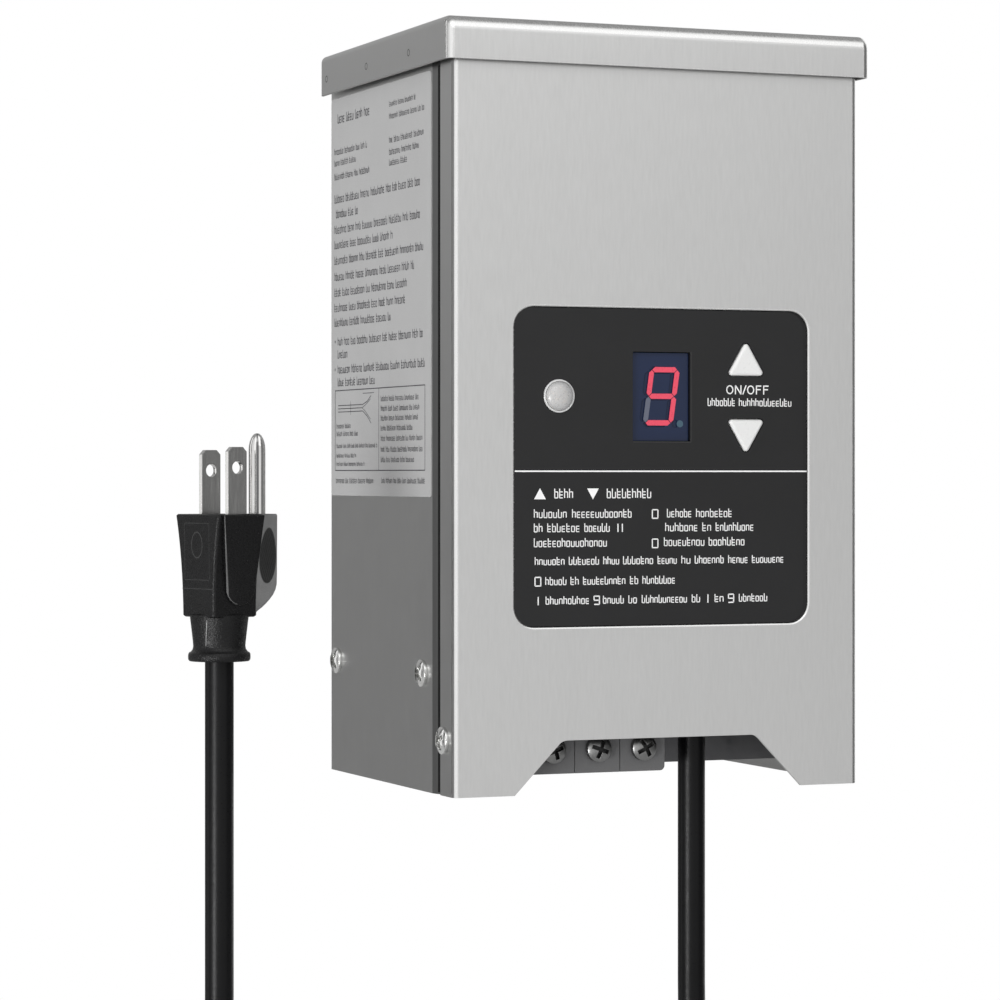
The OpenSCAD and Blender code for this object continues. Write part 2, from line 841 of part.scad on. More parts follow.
module bottom_tray() placed() color("darkgray") difference() {
    union() {
        translate([0, 0, tray_z]) linear_extrude(tray_t) {
            translate([-wall_x, tray_wide_y]) square([2 * wall_x, tray_back_y - tray_wide_y]);
            translate([-tray_front_x, -(body_d - tray_front)])
                square([2 * tray_front_x, body_d - tray_front + tray_back_y]);
        }
        for (x = [-wall_x, wall_x - tray_t]) translate([x, tray_wide_y, tray_z])
            cube([tray_t, tray_back_y - tray_wide_y, tray_flange_h]);
        translate([-tray_front_x, -(body_d - tray_front), tray_z])
            cube([2 * tray_front_x, tray_t, tray_lip_h]);
        translate([-wall_x, -(body_d - partition_front) - tray_t, partition_z])
            cube([2 * wall_x, tray_t, tray_top_z - partition_z]);
    }
    sideways(-half_w - cut, body_w + 2 * cut) side_screw_holes(screw_d / 2 + screw_fit);
    translate([0, 0, tray_z - cut]) linear_extrude(tray_t + 2 * cut) {
        translate([cord_x, cord_back_y]) circle(bush_hole_r);
        translate([ground_x, ground_y]) circle(screw_d / 2 + screw_fit);
        for (x = [-bolt_x, bolt_x], y = [-bolt_spread, bolt_spread])
            translate([x, core_y + y]) circle(screw_d / 2 + screw_fit);
        for (i = [0.5, poles - 1.5]) translate([pole_x(i), block_screw_y])
            circle(block_screw_d / 2 + screw_fit);
        for (i = [0:poles - 1])
            translate([pole_x(i) - tab_w / 2 - tab_fit, pocket_front_y - tab_fit])
                square([tab_w + 2 * tab_fit, bar_t + 2 * tab_fit]);
    }
}

// Openings through the panel's face
module panel_openings() {
    round_rect([-display_w / 2 - display_fit, display_z - display_h / 2 - display_fit],
        [display_w + 2 * display_fit, display_h + 2 * display_fit], display_corner);
    translate([-lens_x, display_z]) circle(lens_r + lens_fit);
    for (s = [-1, 1]) button_outline(s, button_fit);
}

// Triangle of one button, grown by a gap: s is 1 for up and -1 for down
module button_outline(s, gap) {
    slope = norm([button_w / 2, button_h]);
    side = gap * slope / (button_w / 2);
    base = gap * (slope + button_w / 2) / button_h;
    translate([button_x, display_z + s * button_z]) scale([1, s]) round_corners([
        [-button_w / 2 - base, -gap], [button_w / 2 + base, -gap], [0, button_h + side]
    ], button_r + gap);
}

module flange_outline() {
    round_rect([-window_w / 2 - panel_side, window_z - panel_edge],
        [window_w + 2 * panel_side, window_h + 2 * panel_edge], window_r / 2);
}

module control_panel() placed() color("#262626") difference() {
    union() {
        facing(panel_back_y, panel_t) difference() {
            flange_outline();
            stud_places() circle(stud_d / 2 + screw_fit);
        }
        facing(panel_back_y, panel_back_y - panel_face_y) window_shape(window_fit);
        facing(board_front_y, board_gap) board_places() circle(post_r);
    }
    facing(panel_back_y + cut, panel_back_y - panel_face_y + 2 * cut) panel_openings();
    facing(board_front_y + cut, board_gap + cut) board_places() circle(pilot_r);
}

module board_places() {
    for (x = [-post_x, post_x], z = [-post_z, post_z])
        translate([x, window_mid_z + z]) children();
}

module tub_shape(wall) {
    round_rect([-tub_w / 2 + wall, window_mid_z - tub_h / 2 + wall],
        [tub_w - 2 * wall, tub_h - 2 * wall], tub_r - wall);
}

module control_housing() placed() color("#303030") difference() {
    union() {
        facing(flange_back_y, flange_t) difference() {
            flange_outline();
            stud_places() circle(stud_d / 2 + screw_fit);
        }
        facing(-(body_d - tub_back), -(body_d - tub_back) - panel_back_y) tub_shape(0);
    }
    facing(-(body_d - tub_back) - tub_wall, -(body_d - tub_back) - panel_back_y)
        tub_shape(tub_wall);
    translate([notch_x - notch_w / 2, -body_d + notch_y - notch_d / 2,
        window_mid_z - tub_h / 2 - cut])
        cube([notch_w, notch_d, tub_wall + 2 * cut]);
}

module control_nuts() placed() color("silver") translate([0, flange_back_y + nut_t, 0])
    rotate([90, 0, 0]) stud_places() hex_nut(nut_across, nut_t, stud_d / 2 + screw_fit);

module control_board() placed() color("darkgreen") facing(board_back_y, board_t) difference() {
    round_rect([-board_w / 2, window_mid_z - board_h / 2], [board_w, board_h], button_r);
    board_places() circle(board_screw_r + screw_fit);
}

module board_screws() placed() color("gray") translate([0, board_back_y, 0])
    rotate([90, 0, 0]) board_places() rotate([0, 180, 0])
        pan_screw(board_head_d, board_head_h, 2 * board_screw_r, board_screw_l);

// Outline of one segment that lies along X, pointed at both ends
module segment(length) {
    w = segment_w / 2;
    polygon([
        [-length / 2, 0], [-length / 2 + w, w], [length / 2 - w, w],
        [length / 2, 0], [length / 2 - w, -w], [-length / 2 + w, -w]
    ]);
}

// Leans the digit and sets it in the display
module digit_frame() {
    lean = tan(digit_lean);
    multmatrix([[1, lean, 0, -digit_shift - lean * display_z], [0, 1, 0, 0], [0, 0, 1, 0]])
        translate([0, display_z]) children();
}

run_x = digit_w - segment_w;
run_z = (digit_h - segment_w) / 2;

module flat_segments(levels) {
    for (z = levels) translate([0, z * run_z]) segment(run_x - 2 * segment_gap);
}

module upright_segments(places) {
    for (p = places) translate([p[0] * run_x / 2, p[1] * run_z / 2])
        rotate([0, 0, 90]) segment(run_z - 2 * segment_gap);
}

// The numeral shows nine: only the lower left segment stays dark
module lit_shape() digit_frame() {
    flat_segments([-1, 0, 1]);
    upright_segments([[-1, 1], [1, 1], [1, -1]]);
}

module unlit_shape() {
    digit_frame() upright_segments([[-1, -1]]);
    translate([dot_x - digit_shift - digit_w / 4, display_z - run_z]) circle(dot_r);
}

module display_body() placed() color("midnightblue") difference() {
    facing(board_front_y - touch_gap, board_front_y - touch_gap - display_face_y)
        round_rect([-display_w / 2, display_z - display_h / 2], [display_w, display_h],
            display_corner);
    facing(display_face_y + segment_depth, segment_depth + cut) {
        lit_shape();
        unlit_shape();
    }
}

module lit_segments() placed() color("red")
    facing(display_face_y + segment_depth, segment_depth) lit_shape();

module unlit_segments() placed() color("slategray")
    facing(display_face_y + segment_depth, segment_depth) unlit_shape();

module photocell_lens() placed() color("gainsboro")
    translate([-lens_x, panel_back_y, display_z]) rotate([90, 0, 0]) difference() {
        union() {
            translate([0, 0, -lens_flange_t]) cylinder(r = lens_r + lens_flange, h = lens_flange_t);
            cylinder(r = lens_r, h = lens_top);
            intersection() {
                translate([0, 0, lens_top - dome_drop]) sphere(dome_ball_r);
                translate([0, 0, lens_top - cut]) cylinder(r = dome_r, h = 2 * cut + lens_dome);
            }
        }
        translate([0, 0, -lens_flange_t - cut])
            cylinder(r = sensor_r + sensor_gap, h = lens_flange_t + cut + lens_top / 2);
    }

module photocell_sensor() placed() color("tan")
    translate([-lens_x, board_front_y - touch_gap, display_z]) rotate([90, 0, 0]) {
        for (x = [-sensor_lead_x, sensor_lead_x]) translate([x, 0, 0])
            cylinder(r = sensor_lead_r, h = board_gap - touch_gap);
        translate([0, 0, board_gap - touch_gap - sensor_t / 2]) cylinder(r = sensor_r, h = sensor_t);
    }

// Cap, flange and stem of one button
module button(s) placed() color("white") {
    hull() {
        facing(button_flange_y, button_flange_y - panel_face_y + button_proud - button_bevel)
            button_outline(s, 0);
        facing(panel_face_y - button_proud + button_bevel, button_bevel)
            button_outline(s, -button_bevel_in);
    }
    facing(button_flange_y + button_flange_t / 2, button_flange_t)
        button_outline(s, button_flange);
    facing(stem_front_y, stem_front_y - panel_back_y - button_flange_gap)
        button_middle(s) circle(stem_r);
}

module button_middle(s) {
    translate([button_x, display_z + s * (button_z + button_h / 3)]) children();
}

module up_button() button(1);
module down_button() button(-1);

module plunger(s) placed() color("dimgray")
    facing(switch_face_y + plunger_in, switch_face_y + plunger_in - stem_front_y)
        button_middle(s) circle(plunger_r);

module up_plunger() plunger(1);
module down_plunger() plunger(-1);

module push_switches() placed() color("black") for (s = [-1, 1]) difference() {
    facing(board_front_y, switch_t) button_middle(s) square(switch_w, center = true);
    facing(switch_face_y + plunger_in + button_travel + touch_gap,
        plunger_in + button_travel + touch_gap + cut) button_middle(s) circle(switch_bore);
}

// A place on the back of the board, in shares of its size from its middle
module board_place(shares) {
    translate([board_w * shares[0], board_back_y, window_mid_z + board_h * shares[1]]) children();
}

// A part soldered on the back of the board
module on_board(size, shares) {
    board_place(shares) translate([-size[0] / 2, 0, -size[2] / 2]) cube(size);
}

module relay() placed() color("royalblue") on_board(relay_size, relay_shares);

module capacitors() placed() {
    color("gold") on_board(film_size, film_shares);
    color("navy") board_place(can_shares) rotate([-90, 0, 0]) cylinder(r = can_r, h = can_l);
}

module controller_chip() placed() color("black") on_board(chip_size, chip_shares);

// E laminations: bottom yoke, two outer legs and the middle leg
module core_e_stack() placed() color("dimgray") facing(core_y + core_stack / 2, core_stack) {
    translate([-core_w / 2, core_z]) square([core_w, core_leg]);
    for (x = [-core_w / 2, core_w / 2 - core_leg])
        translate([x, core_z]) square([core_leg, core_h - core_leg]);
    translate([-core_leg, core_z]) square([2 * core_leg, core_h - core_leg]);
}

module core_i_stack() placed() color("dimgray") facing(core_y + core_stack / 2, core_stack)
    translate([-core_w / 2, yoke_z]) square([core_w, core_leg]);

// Ring round the middle leg, from its inner to its outer half sizes
module coil_ring(inner, outer, r_in, r_out) {
    translate([0, core_y]) difference() {
        round_rect(-outer, 2 * outer, r_out);
        round_rect(-inner, 2 * inner, r_in);
    }
}

tube_half = [tube_x, tube_y];
leg_half = [core_leg + bobbin_fit, core_stack / 2 + bobbin_fit];
function grown(half, t) = half + [t, t];
primary_in = grown(tube_half, touch_gap);
primary_out = grown(primary_in, winding_t);
secondary_in = grown(primary_out, touch_gap);
secondary_out = grown(secondary_in, winding_t);
wrap_in = grown(secondary_out, touch_gap);
wrap_out = grown(wrap_in, wrap_t);
leg_corner = 0.3;

module bobbin() placed() color("ivory") {
    translate([0, 0, bobbin_z]) linear_extrude(bobbin_h)
        coil_ring(leg_half, tube_half, leg_corner, tube_r);
    for (z = [bobbin_z, bobbin_z + bobbin_h - bobbin_flange_t]) translate([0, 0, z])
        linear_extrude(bobbin_flange_t)
            coil_ring(leg_half, [flange_x, flange_y], leg_corner, flange_r);
}

module winding(inner, outer, r_in) {
    translate([0, 0, coil_z]) linear_extrude(coil_h)
        coil_ring(inner, outer, r_in, r_in + outer[0] - inner[0]);
}

module primary_winding() placed() color("peru") winding(primary_in, primary_out, tube_r);
module secondary_winding() placed() color("chocolate")
    winding(secondary_in, secondary_out, tube_r + winding_t);
module winding_wrap() placed() color("khaki")
    winding(wrap_in, wrap_out, tube_r + 2 * winding_t);

// Strap over the core with two feet, drawn in X and Z
module core_frame() placed() color("silver") difference() {
    facing(core_y + core_stack / 2, core_stack) {
        difference() {
            round_rect([-core_w / 2 - frame_t, core_z - frame_r],
                [core_w + 2 * frame_t, core_h + frame_t + frame_r], frame_r);
            translate([-core_w / 2, core_z - frame_r - cut])
                square([core_w, core_h + frame_r + cut]);
            translate([-core_w, core_z - frame_r - cut]) square([2 * core_w, frame_r + cut]);
        }
        for (s = [-1, 1]) scale([s, 1]) translate([core_w / 2, core_z])
            square([frame_foot, frame_t]);
    }
    frame_bolt_places() translate([0, 0, -cut])
        cylinder(r = screw_d / 2 + screw_fit, h = frame_t + 2 * cut);
}

module frame_bolt_places() {
    for (x = [-bolt_x, bolt_x], y = [-bolt_spread, bolt_spread])
        translate([x, core_y + y, core_z]) children();
}

module frame_bolts() placed() color("gainsboro") frame_bolt_places()
    translate([0, 0, frame_t]) pan_screw(bolt_head_d, head_h, screw_d, bolt_l);

module frame_nuts() placed() color("silver") frame_bolt_places()
    translate([0, 0, -tray_t - bolt_nut_t])
        hex_nut(bolt_nut_across, bolt_nut_t, screw_d / 2 + screw_fit);

module thermal_cutout() placed() color("whitesmoke")
    translate([-cutout_shift - cutout_size[0] / 2, coil_face_y - cutout_size[1],
        coil_z + cutout_rise - cutout_size[2] / 2]) cube(cutout_size);

module block_outline() {
    left = pole_x(0) - pole_pitch / 2;
    difference() {
        union() {
            round_rect([left, block_bottom_z], [block_w, block_h], block_r);
            translate([left, block_bottom_z + block_r]) square([block_w, block_h - block_r]);
        }
        for (i = [1:poles - 1]) translate([left + i * pole_pitch - groove_w / 2,
            block_bottom_z - cut]) square([groove_w, groove_d + cut]);
    }
}

module terminal_block() placed() color("#3a3a3c") difference() {
    facing(block_back_y, block_d) block_outline();
    for (i = [1:poles - 1])
        translate([pole_x(i) - pole_pitch / 2 - groove_w / 2, block_face_y - cut,
            block_bottom_z - cut]) cube([groove_w, groove_d + cut, block_h + 2 * cut]);
    for (i = [0:poles - 1]) {
        translate([pole_x(i) - pocket_w / 2, pocket_front_y, block_bottom_z - cut])
            cube([pocket_w, pocket_d, pocket_top_z - block_bottom_z + cut]);
        translate([pole_x(i), pocket_front_y + cut, clamp_z]) rotate([90, 0, 0])
            cylinder(r = screw_d / 2 + run_fit, h = pocket_wall + 2 * cut);
        translate([pole_x(i) - tab_w / 2 - tab_fit, pocket_front_y, pocket_top_z - cut])
            cube([tab_w + 2 * tab_fit, bar_t + tab_fit, pocket_top + 2 * cut]);
    }
    for (i = [0.5, poles - 1.5])
        translate([pole_x(i), block_screw_y, block_top_z - block_screw_l])
            cylinder(d = block_screw_d, h = block_screw_l + cut);
}

module terminal_bars() placed() color("goldenrod") for (i = [0:poles - 1]) difference() {
    facing(pocket_front_y + bar_t, bar_t) {
        translate([pole_x(i) - pocket_w / 2 + bar_side_gap, block_bottom_z + bar_low])
            square([pocket_w - 2 * bar_side_gap,
                pocket_top_z - block_bottom_z - bar_low - bar_side_gap]);
        translate([pole_x(i) - tab_w / 2, block_bottom_z + bar_low])
            square([tab_w, block_h - bar_low + tab_rise]);
    }
    translate([pole_x(i), pocket_front_y + bar_t + cut, clamp_z]) rotate([90, 0, 0])
        cylinder(r = bar_hole_r, h = bar_t + 2 * cut);
}

module block_screws() placed() color("gray") for (i = [0.5, poles - 1.5])
    translate([pole_x(i), block_screw_y, tray_top_z])
        pan_screw(block_screw_head_d, block_screw_head_h, block_screw_d - 2 * screw_fit,
            block_screw_l);

// Plate with two ribs that grip the wire, threaded on the clamp screw
module clamp_plate(i) placed() color("silver") difference() {
    plate_y = pocket_front_y + bar_t + clamp_gap;
    union() {
        translate([pole_x(i) - plate_w / 2, plate_y + plate_rib, clamp_z - plate_h / 2])
            cube([plate_w, plate_t, plate_h]);
        for (s = [-1, 1])
            translate([pole_x(i) - plate_w / 2, plate_y,
                clamp_z + s * (plate_h / 2 - plate_rib_w) - plate_rib_w / 2])
                cube([plate_w, plate_t, plate_rib_w]);
    }
    translate([pole_x(i), plate_y + plate_t + plate_rib + cut, clamp_z]) rotate([90, 0, 0])
        cylinder(r = screw_d / 2 + run_fit, h = plate_t + plate_rib + 2 * cut);
}

module clamp_plate_1() clamp_plate(0);
module clamp_plate_2() clamp_plate(1);
module clamp_plate_3() clamp_plate(2);

clamp_turn = [20, 70, 30];

module clamp_screw(i) placed() color("gainsboro")
    translate([pole_x(i), block_face_y, clamp_z]) rotate([90, 0, 0])
        rotate([0, 0, clamp_turn[i]])
            pan_screw(clamp_head_d, clamp_head_h, screw_d, clamp_screw_l);

module clamp_screw_1() clamp_screw(0);
module clamp_screw_2() clamp_screw(1);
module clamp_screw_3() clamp_screw(2);

module ground_screw() placed() color("green")
    translate([ground_x, ground_y, tray_top_z + lug_t])
        pan_screw(head_d, head_h, screw_d, ground_screw_l);

module ground_lug() placed() color("goldenrod")
    translate([ground_x, ground_y, tray_top_z]) {
        difference() {
            union() {
                cylinder(r = lug_r, h = lug_t);
                translate([-lug_neck_w / 2, -lug_barrel_from - lug_barrel_l / 2, 0])
                    cube([lug_neck_w, lug_barrel_from + lug_barrel_l / 2, lug_t]);
            }
            translate([0, 0, -cut]) cylinder(r = screw_d / 2 + screw_fit, h = lug_t + 2 * cut);
        }
        translate([0, -lug_barrel_from, lug_barrel_r]) rotate([90, 0, 0])
            cylinder(r = lug_barrel_r, h = lug_barrel_l);
    }

// Line, neutral, ground and relay leads
module supply_leads() placed() translate([0, cord_back_y, 0]) {
    color("black") tube(line_route, lead_r, lead_sides, [0, 1, 0]);
    color("black") tube(relay_route, lead_r, lead_sides, [1, 0, 0]);
    color("white") tube(neutral_route, lead_r, lead_sides, [0, 1, 0]);
    color("green") tube(ground_route, lead_r, lead_sides, [0, 1, 0]);
}

// From the coil to the tabs of the three terminal bars
module secondary_leads() placed() color("darkorange") for (i = [0:poles - 1]) {
    tab_y = pocket_front_y + bar_t / 2 - cord_back_y;
    tab_z = block_top_z + tab_rise;
    translate([0, cord_back_y, 0]) tube([
        [secondary_start_x[i], secondary_start_y, secondary_start_z],
        [secondary_start_x[i], secondary_bend_y, secondary_start_z],
        [(secondary_start_x[i] + pole_x(i)) / 2, (secondary_bend_y + tab_y) / 2, secondary_over_z],
        [pole_x(i), tab_y + thick_lead_r * 2, secondary_over_z],
        [pole_x(i), tab_y, secondary_drop_z],
        [pole_x(i), tab_y, tab_z]
    ], thick_lead_r, lead_sides, [1, 0, 0]);
}

// Snap-in bushing with a bore for the cord
module cord_bushing() placed() color("#202020")
    translate([cord_x, cord_back_y, tray_z]) rotate_extrude() {
        bore = cord_d / 2 + bush_bore_gap;
        polygon([
            [bore, -bush_flange_t - bush_low_l], [bush_low_r, -bush_flange_t - bush_low_l],
            [bush_low_r + bush_edge, -bush_flange_t],
            [bush_flange_r - bush_edge, -bush_flange_t],
            [bush_flange_r, -bush_flange_t + bush_edge], [bush_flange_r, 0],
            [bush_hole_r - bush_fit, 0], [bush_hole_r - bush_fit, tray_t],
            [bush_lock_r, tray_t], [bush_lock_r - bush_edge, tray_t + bush_lock_t],
            [bush_hole_r - bush_edge, tray_t + bush_lock_t],
            [bush_high_r, bush_high_l], [bore, bush_high_l]
        ]);
    }

cord_in_path = [for (p = route_in) [p[0], cord_back_y, p[1]]];
cord_out_path = [for (p = route_out) [p[0], cord_front_y, p[1]]];

module cord_to_coil() placed() color("#1c1c1c")
    tube(cord_in_path, cord_d / 2, cord_sides, [0, 1, 0]);

module cord_to_plug() placed() color("#1c1c1c")
    tube(cord_out_path, cord_d / 2, cord_sides, [0, 1, 0]);

// Coil: the turns spiral in behind, step to the front layer where the spiral
// turns back at the bottom, and spiral out again. The ends run straight.
coil_inner_r = coil_outer_r - coil_step * coil_turns / 2;
coil_rings = coil_turns * rings_per_turn;
function coil_angle(i) = 360 * i / rings_per_turn;
function coil_radius(i) = coil_inner_r + coil_step * abs(i - coil_rings / 2) / rings_per_turn;
function coil_share(i) = min(1, max(-1, (i - coil_rings / 2) / (rings_per_turn / 4)));
function coil_y(i) = coil_mid_y - coil_layer * sin(90 * coil_share(i));
function coil_point(i) = [
    coil_x + coil_radius(i) * cos(coil_angle(i)),
    coil_y(i),
    coil_mid_z - coil_radius(i) * sin(coil_angle(i))
];
coil_turn_path = [for (i = [0:coil_rings]) coil_point(i)];
coil_path = concat(
    [coil_turn_path[0] + [0, 0, cord_d]], coil_turn_path,
    [coil_turn_path[coil_rings] + [0, 0, cord_d]]);

// Least distance between two points of the coil half a turn or more apart
coil_gap = min([for (i = [0:coil_rings], j = [i + rings_per_turn / 2:coil_rings])
    norm(coil_turn_path[i] - coil_turn_path[j])]) - cord_d;

module cord_coil() placed() color("#1c1c1c")
    tube(coil_path, cord_d / 2, coil_sides, [0, 1, 0]);

// Tie round the four strands at the top of the coil
module coil_tie() placed() color("black") {
    near_r = coil_inner_r + coil_step / 2;
    low = near_r - cord_d / 2 - tie_gap;
    high = near_r + coil_step + cord_d / 2 + tie_gap;
    half = coil_layer + cord_d / 2 + tie_gap;
    translate([coil_x, coil_mid_y, coil_mid_z]) {
        sideways(-tie_w / 2, tie_w) difference() {
            round_rect([-half - tie_t, low - tie_t],
                [2 * half + 2 * tie_t, high - low + 2 * tie_t], cord_d / 2 + tie_t);
            round_rect([-half, low], [2 * half, high - low], cord_d / 2);
        }
        translate([-tie_head[0] / 2, -tie_head[1] / 2, high + tie_t / 2]) cube(tie_head);
    }
}

// One flat slice of the plug's main block at a height, drawn from the plug's axis
module plug_slice_at(z, back, side, half) {
    translate([0, 0, z]) linear_extrude(plug_slice)
        round_rect([-back, -half], [back + side, 2 * half], plug_corner);
}

plug_side = plug_nose * plug_side_share;
plug_foot_back = plug_back * plug_foot_shares[0];
plug_foot_half = plug_w / 2 * plug_foot_shares[1];
nose_low_shares = [0.28, 0.14, 0.03];
nose_reach_shares = [0.95, 0.8, 0.5];

// The ground side: its two slanted sides carry the finger grips
module plug_nose_slice(z, reach, half) {
    translate([0, 0, z]) linear_extrude(plug_slice) round_corners([
        [0, -half], [plug_side, -half], [reach, -plug_nose_half],
        [reach, plug_nose_half], [plug_side, half], [0, half]
    ], plug_corner);
}

module plug_bulk() {
    hull() {
        plug_slice_at(plug_h - plug_slice, plug_back, plug_side, plug_w / 2);
        plug_slice_at(0, plug_foot_back, plug_side * plug_foot_shares[2], plug_foot_half);
    }
    hull() {
        plug_nose_slice(plug_h - plug_slice, plug_nose, plug_w / 2 - plug_slice);
        for (i = [0:len(nose_low_shares) - 1])
            plug_nose_slice(plug_h * nose_low_shares[i],
                plug_side + (plug_nose - plug_side) * nose_reach_shares[i],
                plug_foot_half - plug_slice);
    }
}

// Raised thumb panel on the flat sides, with a round lower end
module thumb_panel() {
    hull() {
        translate([panel_top_x[0], 0, plug_h - plug_slice])
            cube([panel_top_x[1] - panel_top_x[0], plug_w / 2 + panel_raise, plug_slice]);
        translate([panel_from, 0, panel_low_z]) rotate([-90, 0, 0])
            cylinder(r = panel_low_r, h = plug_foot_half + panel_raise);
    }
}

module plug_body() placed() color("#1a1a1a")
    translate([plug_x, cord_front_y, plug_shoulder_z]) rotate([0, 0, plug_turn]) {
        difference() {
            union() {
                plug_bulk();
                for (s = [-1, 1]) scale([1, s, 1]) thumb_panel();
            }
            for (s = [-1, 1]) {
                translate([blade_offset - blade_w / 2, s * blade_pitch / 2 - blade_t / 2,
                    plug_h - blade_root]) cube([blade_w, blade_t, blade_root + cut]);
                grip_recess(s);
            }
            translate([blade_offset + pin_offset, 0, plug_h - blade_root])
                cylinder(r = pin_r + pin_fit, h = blade_root + cut);
        }
        translate([0, 0, -neck_h])
            cylinder(r1 = neck_low_r, r2 = neck_top_r, h = neck_h + plug_slice);
        rotate_extrude() polygon([
            [0, -neck_h - collar_t], [collar_r - collar_edge, -neck_h - collar_t],
            [collar_r, -neck_h - collar_t + collar_edge], [collar_r, -neck_h - collar_edge],
            [collar_r - collar_edge, -neck_h], [neck_low_r, -neck_h + collar_edge],
            [0, -neck_h + collar_edge]
        ]);
    }

// Oval finger recess in a slanted side
module grip_recess(s) {
    run = [plug_nose - plug_side, plug_w / 2 - plug_nose_half];
    turn = atan2(run[1], run[0]);
    translate([(plug_side + plug_nose) / 2, s * (plug_w / 2 + plug_nose_half) / 2,
        plug_h / 2 + grip_lift])
        rotate([0, 0, -s * turn]) rotate([90, 0, 0])
            translate([0, 0, -grip_depth]) scale([grip_half_w, grip_half_h, 1])
                cylinder(r = 1, h = 2 * grip_depth);
}

module plug_blades() placed() color("silver")
    translate([plug_x, cord_front_y, plug_face_z]) rotate([0, 0, plug_turn])
        for (s = [-1, 1]) difference() {
            translate([blade_offset, s * blade_pitch / 2 + blade_t / 2, 0])
                rotate([90, 0, 0]) linear_extrude(blade_t) polygon([
                    [-blade_w / 2, -blade_root], [blade_w / 2, -blade_root],
                    [blade_w / 2, blade_l - blade_tip], [blade_w / 2 - blade_tip, blade_l],
                    [-blade_w / 2 + blade_tip, blade_l], [-blade_w / 2, blade_l - blade_tip]
                ]);
            translate([blade_offset, s * blade_pitch / 2 + blade_t, blade_l - blade_hole_in])
                rotate([90, 0, 0]) cylinder(r = blade_hole_r, h = 2 * blade_t);
        }

module ground_pin() placed() color("silver")
    translate([plug_x, cord_front_y, plug_face_z]) rotate([0, 0, plug_turn])
        translate([blade_offset + pin_offset, 0, 0]) {
            translate([0, 0, -blade_root]) cylinder(r = pin_r, h = blade_root + pin_l - pin_r);
            translate([0, 0, pin_l - pin_r]) sphere(pin_r);
        }

echo(coil_gap = coil_gap);

housing();
top_cap();
front_cover();
bottom_tray();
cover_screws();
tray_screws();
side_label();
control_panel();
control_housing();
control_nuts();
control_board();
board_screws();
display_body();
lit_segments();
unlit_segments();
photocell_lens();
photocell_sensor();
up_button();
down_button();
up_plunger();
down_plunger();
push_switches();
relay();
capacitors();
controller_chip();
core_e_stack();
core_i_stack();
bobbin();
primary_winding();
secondary_winding();
winding_wrap();
core_frame();
frame_bolts();
frame_nuts();
thermal_cutout();
terminal_block();
terminal_bars();
block_screws();
clamp_plate_1();
clamp_plate_2();
clamp_plate_3();
clamp_screw_1();
clamp_screw_2();
clamp_screw_3();
ground_screw();
ground_lug();
supply_leads();
secondary_leads();
cord_bushing();
cord_to_coil();
cord_coil();
cord_to_plug();
coil_tie();
plug_body();
plug_blades();
ground_pin();
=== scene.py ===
import json
import math
import random

import bmesh
import bpy
from mathutils import Matrix, Vector

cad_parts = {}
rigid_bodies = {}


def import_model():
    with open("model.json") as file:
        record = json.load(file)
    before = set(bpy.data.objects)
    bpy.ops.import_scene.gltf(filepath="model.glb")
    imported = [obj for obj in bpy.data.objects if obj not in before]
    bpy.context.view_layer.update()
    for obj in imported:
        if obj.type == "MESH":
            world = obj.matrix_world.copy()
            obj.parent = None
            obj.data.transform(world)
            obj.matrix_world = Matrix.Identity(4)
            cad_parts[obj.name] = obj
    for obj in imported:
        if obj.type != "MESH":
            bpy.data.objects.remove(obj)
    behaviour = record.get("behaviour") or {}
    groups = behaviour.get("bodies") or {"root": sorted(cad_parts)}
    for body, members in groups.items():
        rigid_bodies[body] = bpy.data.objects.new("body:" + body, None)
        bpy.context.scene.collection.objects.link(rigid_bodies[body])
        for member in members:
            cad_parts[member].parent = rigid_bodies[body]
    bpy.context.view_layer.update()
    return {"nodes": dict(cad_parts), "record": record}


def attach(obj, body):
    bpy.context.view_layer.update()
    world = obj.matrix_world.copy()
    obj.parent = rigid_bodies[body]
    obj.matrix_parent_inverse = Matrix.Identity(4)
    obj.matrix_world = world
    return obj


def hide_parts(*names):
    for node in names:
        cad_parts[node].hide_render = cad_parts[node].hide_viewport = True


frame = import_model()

# The part's sizes are millimetres above the box's bottom edge, as in the CAD
# source. at() turns them into the row's frame, in metres.
HANG = 185
MM = 0.001


def at(x, y, z):
    return Vector((x, y, z - HANG)) * MM


def placed(name, data):
    """A new object in the scene that shows the data."""
    thing = bpy.data.objects.new(name, data)
    bpy.context.collection.objects.link(thing)
    return thing


def mesh_of(name, shape):
    mesh = bpy.data.meshes.new(name)
    shape.to_mesh(mesh)
    shape.free()
    return mesh


# The photograph's camera, solved from the box's edges
CAMERA_PLACE = (-423.1, -1025.7, 92.7)
CAMERA_TURN = -22.07
CAMERA_LENS = 124.2
CAMERA_SHIFT = -0.026


def add_camera():
    data = bpy.data.cameras.new("studio_camera")
    data.sensor_width = 36
    data.lens = CAMERA_LENS
    data.shift_y = CAMERA_SHIFT
    data.clip_start = 0.05
    data.clip_end = 30
    camera = placed("studio_camera", data)
    camera.location = at(*CAMERA_PLACE)
    camera.rotation_euler = (math.pi / 2, 0, math.radians(CAMERA_TURN))
    bpy.context.scene.camera = camera


add_camera()

